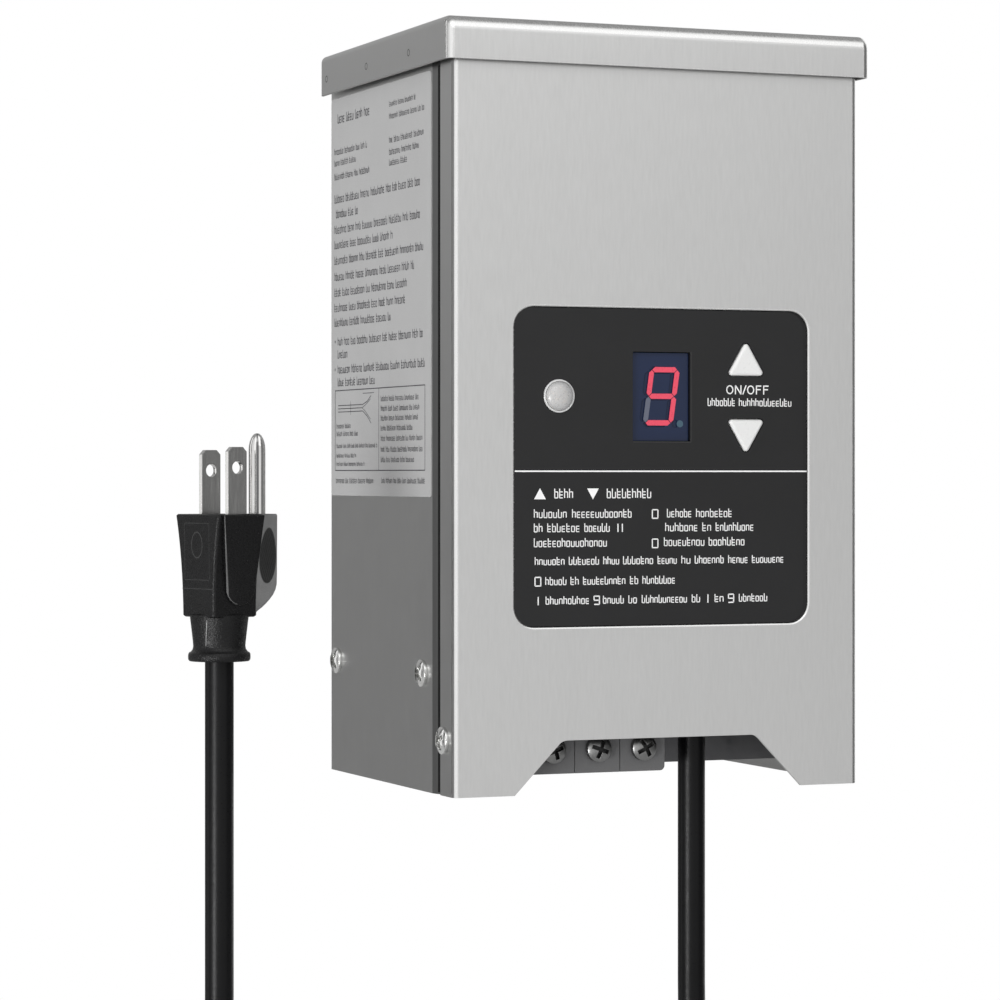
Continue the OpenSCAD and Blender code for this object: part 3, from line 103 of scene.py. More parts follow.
# The cord's route, through the same points as in the CAD source: down from the
# bushing, round the coil and up to the plug
CORD_D = 8.2
COIL_STEP = 8.7
CORD_BACK_Y = -86
CORD_FRONT_Y = CORD_BACK_Y - COIL_STEP
COIL_MID = Vector((-55.5, (CORD_BACK_Y + CORD_FRONT_Y) / 2, -146))
COIL_OUTER_R = 52.5
COIL_TURNS = 4.5
RINGS_PER_TURN = 24
ROUTE_IN = [
    (20, 42), (20, 26), (20, 8), (20, -10), (20, -28), (20, -46), (20, -60), (20, -72),
    (19, -83), (15, -94), (8.5, -105), (2, -116), (-1.6, -125), (-3, -132), (-3, -137.8),
]
ROUTE_OUT = [
    (-108, -137.8), (-108, -132), (-109.4, -125), (-113, -116), (-119.5, -105), (-126, -94),
    (-130, -83), (-131, -72), (-131, -54), (-131, -36), (-131, -18), (-131, 0),
    (-131, 20), (-131, 40),
]


def coil_point(i):
    """A point of the coil, whose turns close in and open out again side by side."""
    half = COIL_TURNS * RINGS_PER_TURN / 2
    turn = math.radians(360 * i / RINGS_PER_TURN)
    radius = COIL_OUTER_R - COIL_STEP * (half - abs(i - half)) / RINGS_PER_TURN
    share = min(1, max(-1, (i - half) / (RINGS_PER_TURN / 4)))
    return (
        COIL_MID.x + radius * math.cos(turn),
        COIL_MID.y - COIL_STEP / 2 * math.sin(math.pi / 2 * share),
        COIL_MID.z - radius * math.sin(turn),
    )


def halved(points):
    """The route with a point on its smooth curve added between each two."""
    known = [points[0], *points, points[-1]]
    finer = []
    for a, b, c, d in zip(known, known[1:], known[2:], known[3:]):
        finer += [b, tuple((9 * (q + r) - p - s) / 16 for p, q, r, s in zip(a, b, c, d))]
    return [*finer, points[-1]]


def add_cord(name):
    turns = [coil_point(i) for i in range(int(COIL_TURNS * RINGS_PER_TURN) + 1)]
    points = [(x, CORD_BACK_Y, z) for x, z in ROUTE_IN] + turns
    points += [(x, CORD_FRONT_Y, z) for x, z in ROUTE_OUT]
    points = halved(halved(points))
    data = bpy.data.curves.new(name, "CURVE")
    data.dimensions = "3D"
    # Each point's radius times this, so that the curve's box is the cord's own
    data.bevel_depth = 1
    data.bevel_resolution = 6
    data.use_fill_caps = True
    spline = data.splines.new("POLY")
    spline.points.add(len(points) - 1)
    for slot, point in zip(spline.points, points):
        slot.co = (*at(*point), 1)
        slot.radius = CORD_D / 2 * MM
    spline.use_smooth = True
    length = sum((at(*a) - at(*b)).length for a, b in zip(points, points[1:]))
    return placed(name, data), length


cord, cord_length = add_cord("supply_cord")
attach(cord, "case")
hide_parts("cord_to_coil", "cord_coil", "cord_to_plug")


# Finishes. Each is a Principled shader whose colour, roughness and bump vary with
# noise or bands in object coordinates. Grain is the noise's scale per metre on X,
# Y and Z, so a low number draws the grain out along that axis.
def new_finish(name):
    material = bpy.data.materials.new(name)
    material.use_nodes = True
    return material, material.node_tree, material.node_tree.nodes["Principled BSDF"]


def link(tree, start, end):
    tree.links.new(start, end)


def grain_vector(tree, grain):
    where = tree.nodes.new("ShaderNodeTexCoord")
    mapping = tree.nodes.new("ShaderNodeMapping")
    mapping.inputs["Scale"].default_value = grain
    link(tree, where.outputs["Object"], mapping.inputs["Vector"])
    return mapping.outputs["Vector"]


def noise(tree, vector, detail=3, rough=0.55):
    node = tree.nodes.new("ShaderNodeTexNoise")
    node.inputs["Scale"].default_value = 1
    node.inputs["Detail"].default_value = detail
    node.inputs["Roughness"].default_value = rough
    link(tree, vector, node.inputs["Vector"])
    return node.outputs["Fac"]


def ranged(tree, value, low, high, from_low=0.3, from_high=0.7):
    node = tree.nodes.new("ShaderNodeMapRange")
    node.inputs["From Min"].default_value = from_low
    node.inputs["From Max"].default_value = from_high
    node.inputs["To Min"].default_value = low
    node.inputs["To Max"].default_value = high
    link(tree, value, node.inputs["Value"])
    return node.outputs["Result"]


def mixed(tree, share, dark, light):
    node = tree.nodes.new("ShaderNodeMix")
    node.data_type = "RGBA"
    node.inputs["A"].default_value = (*dark, 1)
    node.inputs["B"].default_value = (*light, 1)
    link(tree, share, node.inputs["Factor"])
    return node.outputs["Result"]


def bumped(tree, height, depth):
    node = tree.nodes.new("ShaderNodeBump")
    node.inputs["Strength"].default_value = 1
    node.inputs["Distance"].default_value = depth * MM
    link(tree, height, node.inputs["Height"])
    return node.outputs["Normal"]


def reckoned(tree, operation, *values):
    """A math node's result, from numbers and from other nodes' outputs."""
    node = tree.nodes.new("ShaderNodeMath")
    node.operation = operation
    for entry, value in zip(node.inputs, values):
        if isinstance(value, float):
            entry.default_value = value
        else:
            link(tree, value, entry)
    return node.outputs[0]


def shade(color, share):
    return tuple(min(1, c * share) for c in color)


def join_up(tree, bsdf, share, color, tone, fine, rough, spread, height, depth):
    """Colour varies with share by tone, roughness with fine by spread, and height bumps."""
    link(tree, mixed(tree, share, shade(color, 1 - tone), shade(color, 1 + tone)),
         bsdf.inputs["Base Color"])
    link(tree, ranged(tree, fine, rough - spread, rough + spread), bsdf.inputs["Roughness"])
    link(tree, bumped(tree, height, depth), bsdf.inputs["Normal"])


# The blotches' part in a metal's pattern, and their grain beside the streaks'
BLOTCH = 0.12
BLOTCH_GRAIN = 0.12


def metal(name, color, rough, grain, streak=0.06, spread=0.06, depth=0.01):
    """Drawn metal: fine streaks along the grain, with a share of faint blotches."""
    material, tree, bsdf = new_finish(name)
    bsdf.inputs["Metallic"].default_value = 1
    fine = noise(tree, grain_vector(tree, grain), 5, 0.6)
    broad = noise(tree, grain_vector(tree, tuple(g * BLOTCH_GRAIN for g in grain)), 2)
    soft = reckoned(tree, "MULTIPLY", broad, BLOTCH)
    both = reckoned(tree, "MULTIPLY_ADD", fine, 1 - BLOTCH, soft)
    join_up(tree, bsdf, ranged(tree, both, 0, 1), color, streak, fine, rough, spread,
            fine, depth)
    return material


def plastic(name, color, rough, grain=1800, depth=0.03, tone=0.06, spread=0.07, gloss=0.5):
    """Moulded plastic: a fine even grain over a slow change of tone."""
    material, tree, bsdf = new_finish(name)
    bsdf.inputs["Specular IOR Level"].default_value = gloss
    fine = noise(tree, grain_vector(tree, (grain,) * 3), 3)
    broad = noise(tree, grain_vector(tree, (70, 70, 70)), 3)
    join_up(tree, bsdf, ranged(tree, broad, 0, 1), color, tone, fine, rough, spread,
            fine, depth)
    return material


# A wave node's band is 2 pi / 20 units wide at scale 1
WAVE_BAND = 0.314


def banded(name, color, rough, axis, pitch, depth, metallic=0.0, tone=0.25):
    """Bands square to an axis: laminations, wound wire or lapped tape."""
    material, tree, bsdf = new_finish(name)
    bsdf.inputs["Metallic"].default_value = metallic
    wave = tree.nodes.new("ShaderNodeTexWave")
    wave.bands_direction = axis
    wave.inputs["Scale"].default_value = 1
    wave.inputs["Distortion"].default_value = 0.6
    wave.inputs["Detail"].default_value = 2
    link(tree, grain_vector(tree, (WAVE_BAND / (pitch * MM),) * 3), wave.inputs["Vector"])
    fine = noise(tree, grain_vector(tree, (900, 900, 900)), 3)
    bands = wave.outputs["Fac"]
    join_up(tree, bsdf, bands, color, tone, fine, rough, 0.08, bands, depth)
    return material


def glowing(name, color, glow, rough=0.3):
    """A lit segment: most of its colour is its own light."""
    material, tree, bsdf = new_finish(name)
    fine = noise(tree, grain_vector(tree, (1500, 1500, 1500)), 2)
    bsdf.inputs["Emission Strength"].default_value = glow
    shades = mixed(tree, ranged(tree, fine, 0, 1), shade(color, 0.94), shade(color, 1.04))
    link(tree, shades, bsdf.inputs["Emission Color"])
    link(tree, shades, bsdf.inputs["Base Color"])
    link(tree, ranged(tree, fine, rough - 0.05, rough + 0.05), bsdf.inputs["Roughness"])
    link(tree, bumped(tree, fine, 0.01), bsdf.inputs["Normal"])
    return material


def frosted(name, color, rough):
    """Milky plastic that lets some light through."""
    material, tree, bsdf = new_finish(name)
    fine = noise(tree, grain_vector(tree, (1200, 1200, 1200)), 3)
    bsdf.inputs["Transmission Weight"].default_value = 0.25
    bsdf.inputs["IOR"].default_value = 1.49
    join_up(tree, bsdf, ranged(tree, fine, 0, 1), color, 0.03, fine, rough, 0.06, fine, 0.01)
    return material


# Brushed upright on the walls, and from side to side on what lies level
UPRIGHT = (1300, 1300, 150)
LEVEL = (150, 1300, 1300)
EVEN = (900, 900, 900)
DRAWN = (1800, 1800, 120)
CASE_GREY = (0.515, 0.515, 0.511)
FINISH = {
    "case_steel": metal("brushed_steel", CASE_GREY, 0.33, UPRIGHT, 0.04, 0.05, 0.012),
    "case_top": metal("brushed_steel_top", CASE_GREY, 0.33, LEVEL, 0.04, 0.05, 0.012),
    # A lighter, smoother copy of the steel: a painted highlight on the window's rounded rim.
    "window_rim": metal("window_rim", (0.6, 0.6, 0.595), 0.25, EVEN, 0.04, 0.05, 0.006),
    # A lighter copy of the steel: a painted highlight on the cover's front bends.
    "cover_bend": metal("cover_bend", (0.61, 0.61, 0.605), 0.26, UPRIGHT, 0.04, 0.05, 0.008),
    # A lighter copy of the steel: a painted highlight on the cap's front bends.
    "cap_bend_painted_highlight": metal("cap_bend_painted_highlight", (0.61, 0.61, 0.605), 0.26, UPRIGHT, 0.04, 0.05, 0.008),
    # A darker copy of the steel: painted shade on the far side of bends and on the side's slope.
    "fold_shade": metal("fold_shade", (0.23, 0.23, 0.229), 0.33, UPRIGHT, 0.04, 0.05, 0.012),
    # Near black: painted shade in the gap beside the cover.
    "fold_gap": metal("fold_gap", (0.02, 0.02, 0.02), 0.4, UPRIGHT, 0.04, 0.05, 0.012),
    # The zinc plate inside the box, made far darker than the case as painted shade.
    "zinc_steel": metal("zinc_plate_darkened_for_shade", (0.12, 0.12, 0.124), 0.45, (260, 260, 260), 0.1, 0.08, 0.02),
    "screw_steel": metal("bright_screw", (0.62, 0.62, 0.61), 0.2, EVEN, 0.08, 0.06, 0.012),
    "dull_screw": metal("dull_screw", (0.2, 0.2, 0.198), 0.34, EVEN, 0.1, 0.06, 0.012),
    "label_film": plastic("label_film", (0.37, 0.37, 0.37), 0.42, 2500, 0.01, 0.02),
    "panel_plastic": plastic("panel_black", (0.0105, 0.0105, 0.011), 0.42, 2600, 0.02, 0.06,
                             gloss=0.25),
    "board_laminate": plastic("board_green", (0.02, 0.14, 0.06), 0.35, 500, 0.02, 0.2),
    "display_plastic": plastic("display_navy", (0.009, 0.017, 0.048), 0.2, 1200, 0.004, 0.05,
                               gloss=0.25),
    "lit_segment": glowing("lit_red", (0.44, 0.035, 0.065), 0.66),
    "dark_segment": plastic("dark_segment", (0.09, 0.1, 0.14), 0.4, 1500, 0.005, 0.05),
    "lens_clear": frosted("lens_frosted", (0.56, 0.56, 0.56), 0.3),
    "lens_ring": plastic("lens_ring", (0.6, 0.6, 0.6), 0.3, 1500, 0.004, 0.02),
    "sensor_ceramic": plastic("sensor_tan", (0.5, 0.33, 0.18), 0.6, 1500, 0.03),
    "button_white": plastic("button_white", (0.7, 0.7, 0.695), 0.32, 1500, 0.008, 0.015),
    "black_plastic": plastic("black_plastic", (0.009, 0.009, 0.0095), 0.4, 1800, 0.03,
                             gloss=0.3),
    "blue_plastic": plastic("relay_blue", (0.02, 0.09, 0.4), 0.35, 1500, 0.02),
    "yellow_plastic": plastic("film_yellow", (0.7, 0.42, 0.03), 0.35, 900, 0.03),
    "core_steel": banded("laminations", (0.16, 0.16, 0.17), 0.45, "Y", 0.5, 0.06, 0.7),
    "nylon": plastic("bobbin_nylon", (0.72, 0.7, 0.6), 0.45, 1200, 0.02),
    "copper": banded("wound_copper", (0.6, 0.2, 0.07), 0.3, "Z", 1.1, 0.3, 0.8),
    "yellow_tape": banded("lapped_tape", (0.75, 0.55, 0.1), 0.35, "Z", 9.0, 0.08, 0.0, 0.06),
    "block_plastic": plastic("block_grey", (0.095, 0.095, 0.097), 0.45, 1500, 0.03, 0.06),
    "terminal_brass": metal("terminal_brass", (0.65, 0.45, 0.18), 0.3, (700, 700, 200)),
    "green_screw": metal("green_screw", (0.03, 0.3, 0.1), 0.3, EVEN),
    "lead_black": plastic("lead_black", (0.02, 0.02, 0.02), 0.4, 1200, 0.02),
    "lead_orange": plastic("lead_orange", (0.75, 0.22, 0.02), 0.4, 1200, 0.02),
    "cord_jacket": plastic("cord_black", (0.004, 0.004, 0.0044), 0.33, 1500, 0.02, 0.12,
                           gloss=0.12),
    "plug_grain": plastic("plug_grain", (0.004, 0.004, 0.0043), 0.3, 2400, 0.16, 0.12, 0.1,
                          gloss=0.2),
    # A lighter grey: painted light on the nose's slanted faces.
    "plug_nose_painted_light": plastic("plug_nose_painted_light", (0.19, 0.19, 0.19), 0.5, 2400, 0.2, 0.2, gloss=0.3),
    # A lighter grey: a painted highlight on the tongues' rounded edges.
    "plug_tongue_painted_highlight": plastic("plug_tongue_painted_highlight", (0.085, 0.085, 0.085), 0.4, 2400, 0.2, 0.3, gloss=0.3),
    # A lighter grey: a painted highlight along the plug's corner and neck lines.
    "plug_edge_painted_highlight": plastic("plug_edge_painted_highlight", (0.13, 0.13, 0.13), 0.4, 1500, 0.01),
    "plug_line": plastic("plug_line", (0.024, 0.024, 0.024), 0.4, 1500, 0.01),
    # Dark steel on the pin's real seam, its darkness partly painted shade in the groove.
    "pin_seam_and_shade": metal("pin_seam_and_shade", (0.12, 0.12, 0.12), 0.2, DRAWN, 0.05, 0.03, 0.004),
    "pin_nickel": metal("pin_nickel", (0.66, 0.655, 0.645), 0.1, DRAWN, 0.05, 0.03, 0.004),
    "lead_white": plastic("lead_white", (0.7, 0.7, 0.68), 0.4, 1200, 0.02),
    "lead_green": plastic("lead_green", (0.02, 0.22, 0.05), 0.4, 1200, 0.02),
    "dot_teal": plastic("dot_teal", (0.03, 0.075, 0.11), 0.4, 1500, 0.004),
    "weld_dark": plastic("weld_dark", (0.1, 0.1, 0.1), 0.5, 1500, 0.004),
    "blade_brass": metal("bright_blade", (0.6, 0.596, 0.585), 0.2, DRAWN, 0.08, 0.05, 0.008),
    "print_white": plastic("print_white", (0.8, 0.8, 0.8), 0.5, 1500, 0.004, 0.03),
    "print_dark": plastic("print_dark", (0.06, 0.06, 0.065), 0.5, 1500, 0.004, 0.08),
    # Near black: painted shade in recesses and holes.
    "recess_dark": plastic("recess_dark", (0.012, 0.012, 0.012), 0.6, 1500, 0.02),
}
SLOT_OF = {part["node"]: part["material_slot"] for part in frame["record"]["subparts"]}
BODY_OF = {
    node: body for body, nodes in frame["record"]["behaviour"]["bodies"].items()
    for node in nodes
}

for node, carried in frame["nodes"].items():
    carried.data.materials.clear()
    carried.data.materials.append(FINISH[SLOT_OF[node]])
cord.data.materials.append(FINISH["cord_jacket"])


def add_piece(name, shape, body, slot, *finishes, nodes=()):
    mesh = mesh_of(name, shape)
    for finish in finishes or (slot,):
        mesh.materials.append(FINISH[finish])
    piece = placed(name, mesh)
    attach(piece, body)
    if nodes:
        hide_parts(*nodes)
    return piece


def sharp_edges(shape, degrees):
    return [edge for edge in shape.edges if len(edge.link_faces) == 2
            and edge.calc_face_angle(0) > math.radians(degrees)]


def even_normals(piece):
    """Flat faces keep their own direction where they meet a rounded edge."""
    modifier = piece.modifiers.new("even_normals", "WEIGHTED_NORMAL")
    modifier.weight = 90
    modifier.keep_sharp = True


def sharpen(shape, degrees):
    """Smooth shading, apart from edges that turn by more than the degrees."""
    for face in shape.faces:
        face.smooth = True
    for edge in shape.edges:
        two = len(edge.link_faces) == 2
        edge.smooth = two and edge.calc_face_angle(0) < math.radians(degrees)


def bevel(shape, edges, width, segments=2):
    bmesh.ops.bevel(shape, geom=edges, offset=width * MM, offset_type="OFFSET",
                    segments=segments, profile=0.5, affect="EDGES", clamp_overlap=True,
                    material=-1)


# Small shifts towards the photograph, in mm: which places of a node, and how far to +X
WINDOW_SHIFT = 1.2
DISPLAY_SHIFT = 0.65
NUDGES = {
    "front_cover": (lambda p: abs(p.x) < 48 and 48 < p.z < 141.5, WINDOW_SHIFT),
    "control_panel": (lambda p: abs(p.x) < 9.8 and 101.5 < p.z < 129, DISPLAY_SHIFT),
    "display_body": (lambda p: True, DISPLAY_SHIFT),
}


# The least turn of an edge that is rounded, in degrees
SHARP = 35


def node_shape(node):
    """A merged copy of a CAD node's mesh, nudged, with its flat faces made whole."""
    shape = bmesh.new()
    shape.from_mesh(frame["nodes"][node].data)
    bmesh.ops.remove_doubles(shape, verts=shape.verts, dist=2e-6)
    if node in NUDGES:
        chosen, step = NUDGES[node]
        for vert in shape.verts:
            if chosen(vert.co / MM + Vector((0, 0, HANG))):
                vert.co.x += step * MM
    bmesh.ops.dissolve_limit(shape, angle_limit=math.radians(1), verts=shape.verts,
                             edges=shape.edges)
    return shape


def rounded(node, width, kind=None, finishes=(), wide=0, is_wide=lambda edge: False):
    """A CAD node's shape with its sharp edges rounded, standing for that node.

    kind gives a face's place in finishes, and the edges that pass is_wide are
    rounded by the width wide instead.
    """
    shape = node_shape(node)
    bevel(shape, [e for e in sharp_edges(shape, SHARP) if not is_wide(e)], width)
    if wide:
        bevel(shape, [e for e in sharp_edges(shape, SHARP) if is_wide(e)], wide, 4)
    sharpen(shape, 50)
    if kind:
        for face in shape.faces:
            face.material_index = kind(face)
    piece = add_piece(node + "_rounded", shape, BODY_OF[node], SLOT_OF[node], *finishes,
                      nodes=(node,))
    even_normals(piece)


def lies_level(face):
    """1 on a face that lies level, whose brushing runs from side to side."""
    return int(abs(face.normal.z) > 0.8)


def in_window(edge):
    """Whether an edge is the front edge of the cover's window."""
    middle = (edge.verts[0].co + edge.verts[1].co) / 2 / MM
    return (middle.y < -106.95 and abs(middle.x - WINDOW_SHIFT) < 47.4
            and 48 < middle.z + HANG < 141.3)


def cover_face(face):
    """3 and 4 on the far and near side of a bend, in steel painted darker as shade and lighter as
    a highlight; 2 on the window's rounded rim, in steel painted lighter as a highlight.
    """
    middle = face.calc_center_median() / MM
    if abs(middle.x) > 62 and 0.1 < abs(face.normal.x) < 0.996 and abs(face.normal.z) < 0.1:
        return 3 if abs(face.normal.x) > 0.8 else 4
    if (abs(middle.x - WINDOW_SHIFT) < 47.8 and 47.8 < middle.z + HANG < 141.8
            and middle.y < -106.2 and face.normal.y > -0.995):
        return 2
    return lies_level(face)


def cap_face(face):
    """2 on the bends that show in front, in steel painted lighter as a highlight."""
    x, y, z = (abs(part) for part in face.normal)
    if z < 0.8 and y > 0.1 and max(x, z) > 0.1:
        return 2
    return lies_level(face)


def housing_face(face):
    """2 on the slope where the side steps in, in steel painted darker as shade; 3 on what lies in
    the gap behind it, painted near black as the shade in the gap.
    """
    middle = face.calc_center_median() / MM
    if abs(middle.x) > 62.5 and middle.y < -90.2 and abs(face.normal.z) < 0.5:
        return 3 if middle.y < -95 else 2
    return lies_level(face)


# The terminal block's three poles, from the left, its screws' height, and where the
# cross in a screw's head ends
POLES = (-30.35, -15.85, -1.35)
SCREW_Z = 12
CROSS_R = 3.1
CROSS_Y = -99.9


def screw_face(face):
    """1 in the cross recess of a clamp screw, which turns about Y, painted dark as the shade in
    the recess.
    """
    middle = face.calc_center_median() / MM
    across = min(abs(middle.x - x) for x in POLES)
    out = math.hypot(across, middle.z + HANG - SCREW_Z)
    return int(out < CROSS_R and middle.y > CROSS_Y + out * 0.12)


rounded("housing", 0.2, kind=housing_face,
        finishes=("case_steel", "case_top", "fold_shade", "fold_gap"))
rounded("front_cover", 0.25, kind=cover_face,
        finishes=("case_steel", "case_top", "window_rim", "fold_shade", "cover_bend"),
        wide=0.7, is_wide=in_window)
for node, width in (
    ("bottom_tray", 0.2), ("cover_screws", 0.14), ("tray_screws", 0.14),
    ("terminal_block", 0.25), ("control_panel", 0.2), ("display_body", 0.15),
    ("up_button", 0.3), ("down_button", 0.3), ("cord_bushing", 0.3), ("coil_tie", 0.3),
):
    rounded(node, width)
for number in (1, 2, 3):
    rounded(f"clamp_screw_{number}", 0.14, kind=screw_face,
            finishes=("dull_screw", "recess_dark"))
    rounded(f"clamp_plate_{number}", 0.15)


def turned_part(shape, profile, place, way, steps=40):
    """Turns a profile of (radius, distance) pairs, in mm, about an axis."""
    turn = Vector(way).to_track_quat("Z", "Y").to_matrix()
    verts = [shape.verts.new(place + turn @ Vector((r * MM, 0, d * MM))) for r, d in profile]
    edges = [shape.edges.new(pair) for pair in zip(verts, verts[1:])]
    bmesh.ops.spin(shape, geom=verts + edges, cent=place, axis=way, dvec=(0, 0, 0),
                   angle=2 * math.pi, steps=steps, use_merge=True)
    bmesh.ops.remove_doubles(shape, verts=shape.verts, dist=1e-6)
    bmesh.ops.recalc_face_normals(shape, faces=shape.faces)


# The cap's two far corners outside, its sheet's thickness, and what counts as nothing
CAP_LOW, CAP_HIGH = (-67.8, -109.8, 211.3), (67.8, 0, 223.9)
CAP_SHEET = 0.9
TINY = 1e-6


def add_cap():
    """A folded cap with round bends along its top edges and down its two front corners."""
    shape = bmesh.new()
    low, high = at(*CAP_LOW), at(*CAP_HIGH)
    bmesh.ops.create_cube(shape, size=1, matrix=Matrix.Translation((low + high) / 2)
                          @ Matrix.Diagonal((*(high - low), 1)))
    open_faces = [f for f in shape.faces if f.normal.z < -0.9 or f.normal.y > 0.9]
    bmesh.ops.delete(shape, geom=open_faces, context="FACES")
    folds = [e for e in shape.edges if len(e.link_faces) == 2
             and all(abs(v.co.z - high.z) < TINY and abs(v.co.y - low.y) < TINY
                     for v in e.verts)]
    bevel(shape, folds, 4.2, 8)
    folds = [e for e in sharp_edges(shape, 30)
             if all(abs(abs(v.co.x) - high.x) < TINY for v in e.verts)]
    bevel(shape, folds, 2.2, 6)
    bmesh.ops.recalc_face_normals(shape, faces=shape.faces)
    if sum(f.normal.z * f.calc_area() for f in shape.faces) < 0:
        bmesh.ops.reverse_faces(shape, faces=shape.faces)
    bmesh.ops.solidify(shape, geom=shape.faces, thickness=CAP_SHEET * MM)
    bevel(shape, sharp_edges(shape, 70), 0.2)
    sharpen(shape, 50)
    for face in shape.faces:
        face.material_index = cap_face(face)
    piece = add_piece("cap_folded", shape, "case", "case_steel", "case_steel", "case_top",
                      "cap_bend_painted_highlight", nodes=("top_cap",))
    even_normals(piece)


def add_lens():
    """A frosted dome in a thin bright ring."""
    place, way = at(-32, -106.7, 115.3), (0, -1, 0)
    shape = bmesh.new()
    dome = [(4.15 * math.sin(math.radians(a)), 0.25 + 2.0 * math.cos(math.radians(a)))
            for a in range(0, 91, 10)]
    turned_part(shape, dome + [(4.2, 0.1)], place, way)
    add_piece("lens_dome", shape, "case", "lens_clear", "lens_clear",
              nodes=("photocell_lens",)).data.shade_smooth()
    shape = bmesh.new()
    turned_part(shape, [(4.2, 0.02), (4.35, 0.3), (4.55, 0.42), (4.75, 0.3), (4.85, 0.0),
                        (4.85, -0.3), (6.1, -1.4), (6.1, -2.6), (4.2, -2.6), (4.2, 0.02)],
                place, way)
    add_piece("lens_rim", shape, "case", "lens_clear", "lens_ring",
              nodes=("photocell_lens",)).data.shade_smooth()


PIN_R = 2.38
# Where the seam's strip lies round the pin, in degrees from the front, and its rise
SEAM_TURNS = (-24, -18, -12, -6)
SEAM_RISE = 0.02


def add_pin():
    """The round ground pin: rolled strip with a drawn-in tip and a seam, whose dark strip is
    partly painted shade.
    """
    foot = at(-118.54, -90.65, 75.4)
    tip = [(PIN_R, 24.3), (2.3, 25.4), (2.08, 26.5), (1.7, 27.5), (1.2, 28.3), (0.6, 28.8),
           (0.0, 28.9)]
    shape = bmesh.new()
    turned_part(shape, [(0, 0), (PIN_R, 0), (PIN_R, 12)] + tip, foot, (0, 0, 1), 32)
    sharpen(shape, 60)
    add_piece("ground_pin_turned", shape, "case", "blade_brass", "pin_nickel",
              nodes=("ground_pin",))
    shape = bmesh.new()
    rows = []
    for r, d in [(PIN_R, 0.2)] + tip[:-1]:
        turns = (math.radians(a) for a in SEAM_TURNS)
        rows.append([shape.verts.new(foot + Vector(
            ((r + SEAM_RISE) * math.sin(a), -(r + SEAM_RISE) * math.cos(a), d)
        ) * MM) for a in turns])
    for one, two in zip(rows, rows[1:]):
        for i in range(len(SEAM_TURNS) - 1):
            shape.faces.new((one[i], one[i + 1], two[i + 1], two[i]))
    # The seam, a strip darker than the pin: a real seam with painted shade in its groove.
    add_piece("ground_pin_seam", shape, "case", "blade_brass", "pin_seam_and_shade")


# Leads inside the box, each through the same points as in the CAD source. Y counts
# from the cord's, and the secondary leads end in the terminals at LUG_Y.
LUG_Y = -8.3
LEADS = {
    "supply_leads": (1.2, [
        ("lead_black", [(22.3, 0, 42), (22.3, 0, 43.5), (25, 0, 46.5), (32, -1.5, 48),
                        (36, -2, 54), (36, -2.6, 60), (36, -5, 62), (36, -9.6, 62)]),
        ("lead_black", [(30, -9.6, 62), (30, -5, 62), (30, -2.6, 60), (30, -1, 54),
                        (29, 3, 47.5), (22, 8.5, 46), (14, 11.1, 46), (4.1, 11.1, 46)]),
        ("lead_white", [(18, 1.6, 42), (18, 1.6, 43.5), (16.5, 4, 45.5), (13, 6.5, 43.5),
                        (10.5, 8, 41), (10, 9.5, 40), (10, 11, 40)]),
        ("lead_green", [(19, -2.3, 42), (19, -2.3, 43.5), (21.5, -5.5, 45.5), (29, -9, 44),
                        (38, -11.5, 38), (42, -12, 30), (42, -11, 26.4), (42, -9, 25.1),
                        (42, -6.5, 25.1)]),
    ]),
    "secondary_leads": (1.4, [
        ("lead_orange", [(x, 11, 40), (x, 6, 40), ((x + pole) / 2, (6 + LUG_Y) / 2, 42.5),
                         (pole, LUG_Y + 2.8, 42.5), (pole, LUG_Y, 40), (pole, LUG_Y, 36)])
        for x, pole in zip((-28, -18, -6), POLES)
    ]),
}


def add_leads(node):
    """A node's leads as smooth tubes, each in its own colour."""
    radius, runs = LEADS[node]
    data = bpy.data.curves.new(node + "_drawn", "CURVE")
    data.dimensions = "3D"
    data.bevel_depth = radius * MM
    data.bevel_resolution = 4
    data.use_fill_caps = True
    used = []
    for finish, points in runs:
        if finish not in used:
            used.append(finish)
            data.materials.append(FINISH[finish])
        spline = data.splines.new("NURBS")
        spline.points.add(len(points) - 1)
        for slot, (x, y, z) in zip(spline.points, points):
            slot.co = (*at(x, CORD_BACK_Y + y, z), 1)
        spline.use_endpoint_u = True
        spline.order_u = 3
        spline.resolution_u = 8
        spline.material_index = used.index(finish)
    leads = placed(node + "_drawn", data)
    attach(leads, "case")
    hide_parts(node)


# The plug in its own frame: the cord's axis at 0, its flat side towards -Y, and its
# foot at height 0
PLUG = Matrix.Translation(at(-131, -94.7, 52.5)) @ Matrix.Rotation(math.radians(18), 4, "Z")
PLUG_H = 28.9
PLUG_SIDE = 7.93
PLUG_NOSE = 16.7
NOSE_HALF = 5


def on_plug(x, y, z):
    return PLUG @ (Vector((x, y, z)) * MM)


def plug_half(z):
    """Half the plug's width, which narrows in a hollow curve from its face."""
    return 7.67 + 2.98 * max(0, z / PLUG_H) ** 2.2


def soft_outline(corners, radius, steps=4):
    """A convex outline with each corner turned into an arc."""
    points = []
    for i, corner in enumerate(corners):
        middle = Vector(corner)
        back = (Vector(corners[i - 1]) - middle).normalized()
        on = (Vector(corners[(i + 1) % len(corners)]) - middle).normalized()
        half = back.angle(on) / 2
        centre = middle + (back + on).normalized() * radius / math.sin(half)
        start = middle + back * radius / math.tan(half) - centre
        end = middle + on * radius / math.tan(half) - centre
        for k in range(steps + 1):
            points.append(centre + start.lerp(end, k / steps).normalized() * radius)
    return points


def loft(shape, rings):
    """A closed skin through rings of points, from the lowest up."""
    made = [[shape.verts.new(point) for point in ring] for ring in rings]
    for low, high in zip(made, made[1:]):
        for i, j in zip(range(len(low)), [*range(1, len(low)), 0]):
            shape.faces.new((low[i], low[j], high[j], high[i]))
    shape.faces.new(made[0][::-1])
    shape.faces.new(made[-1])


def give_second(shape, takes_it):
    """Gives the second finish to the faces whose way, in the plug's frame, passes."""
    back = PLUG.to_3x3().inverted()
    for face in shape.faces:
        face.material_index = int(takes_it(back @ face.normal))


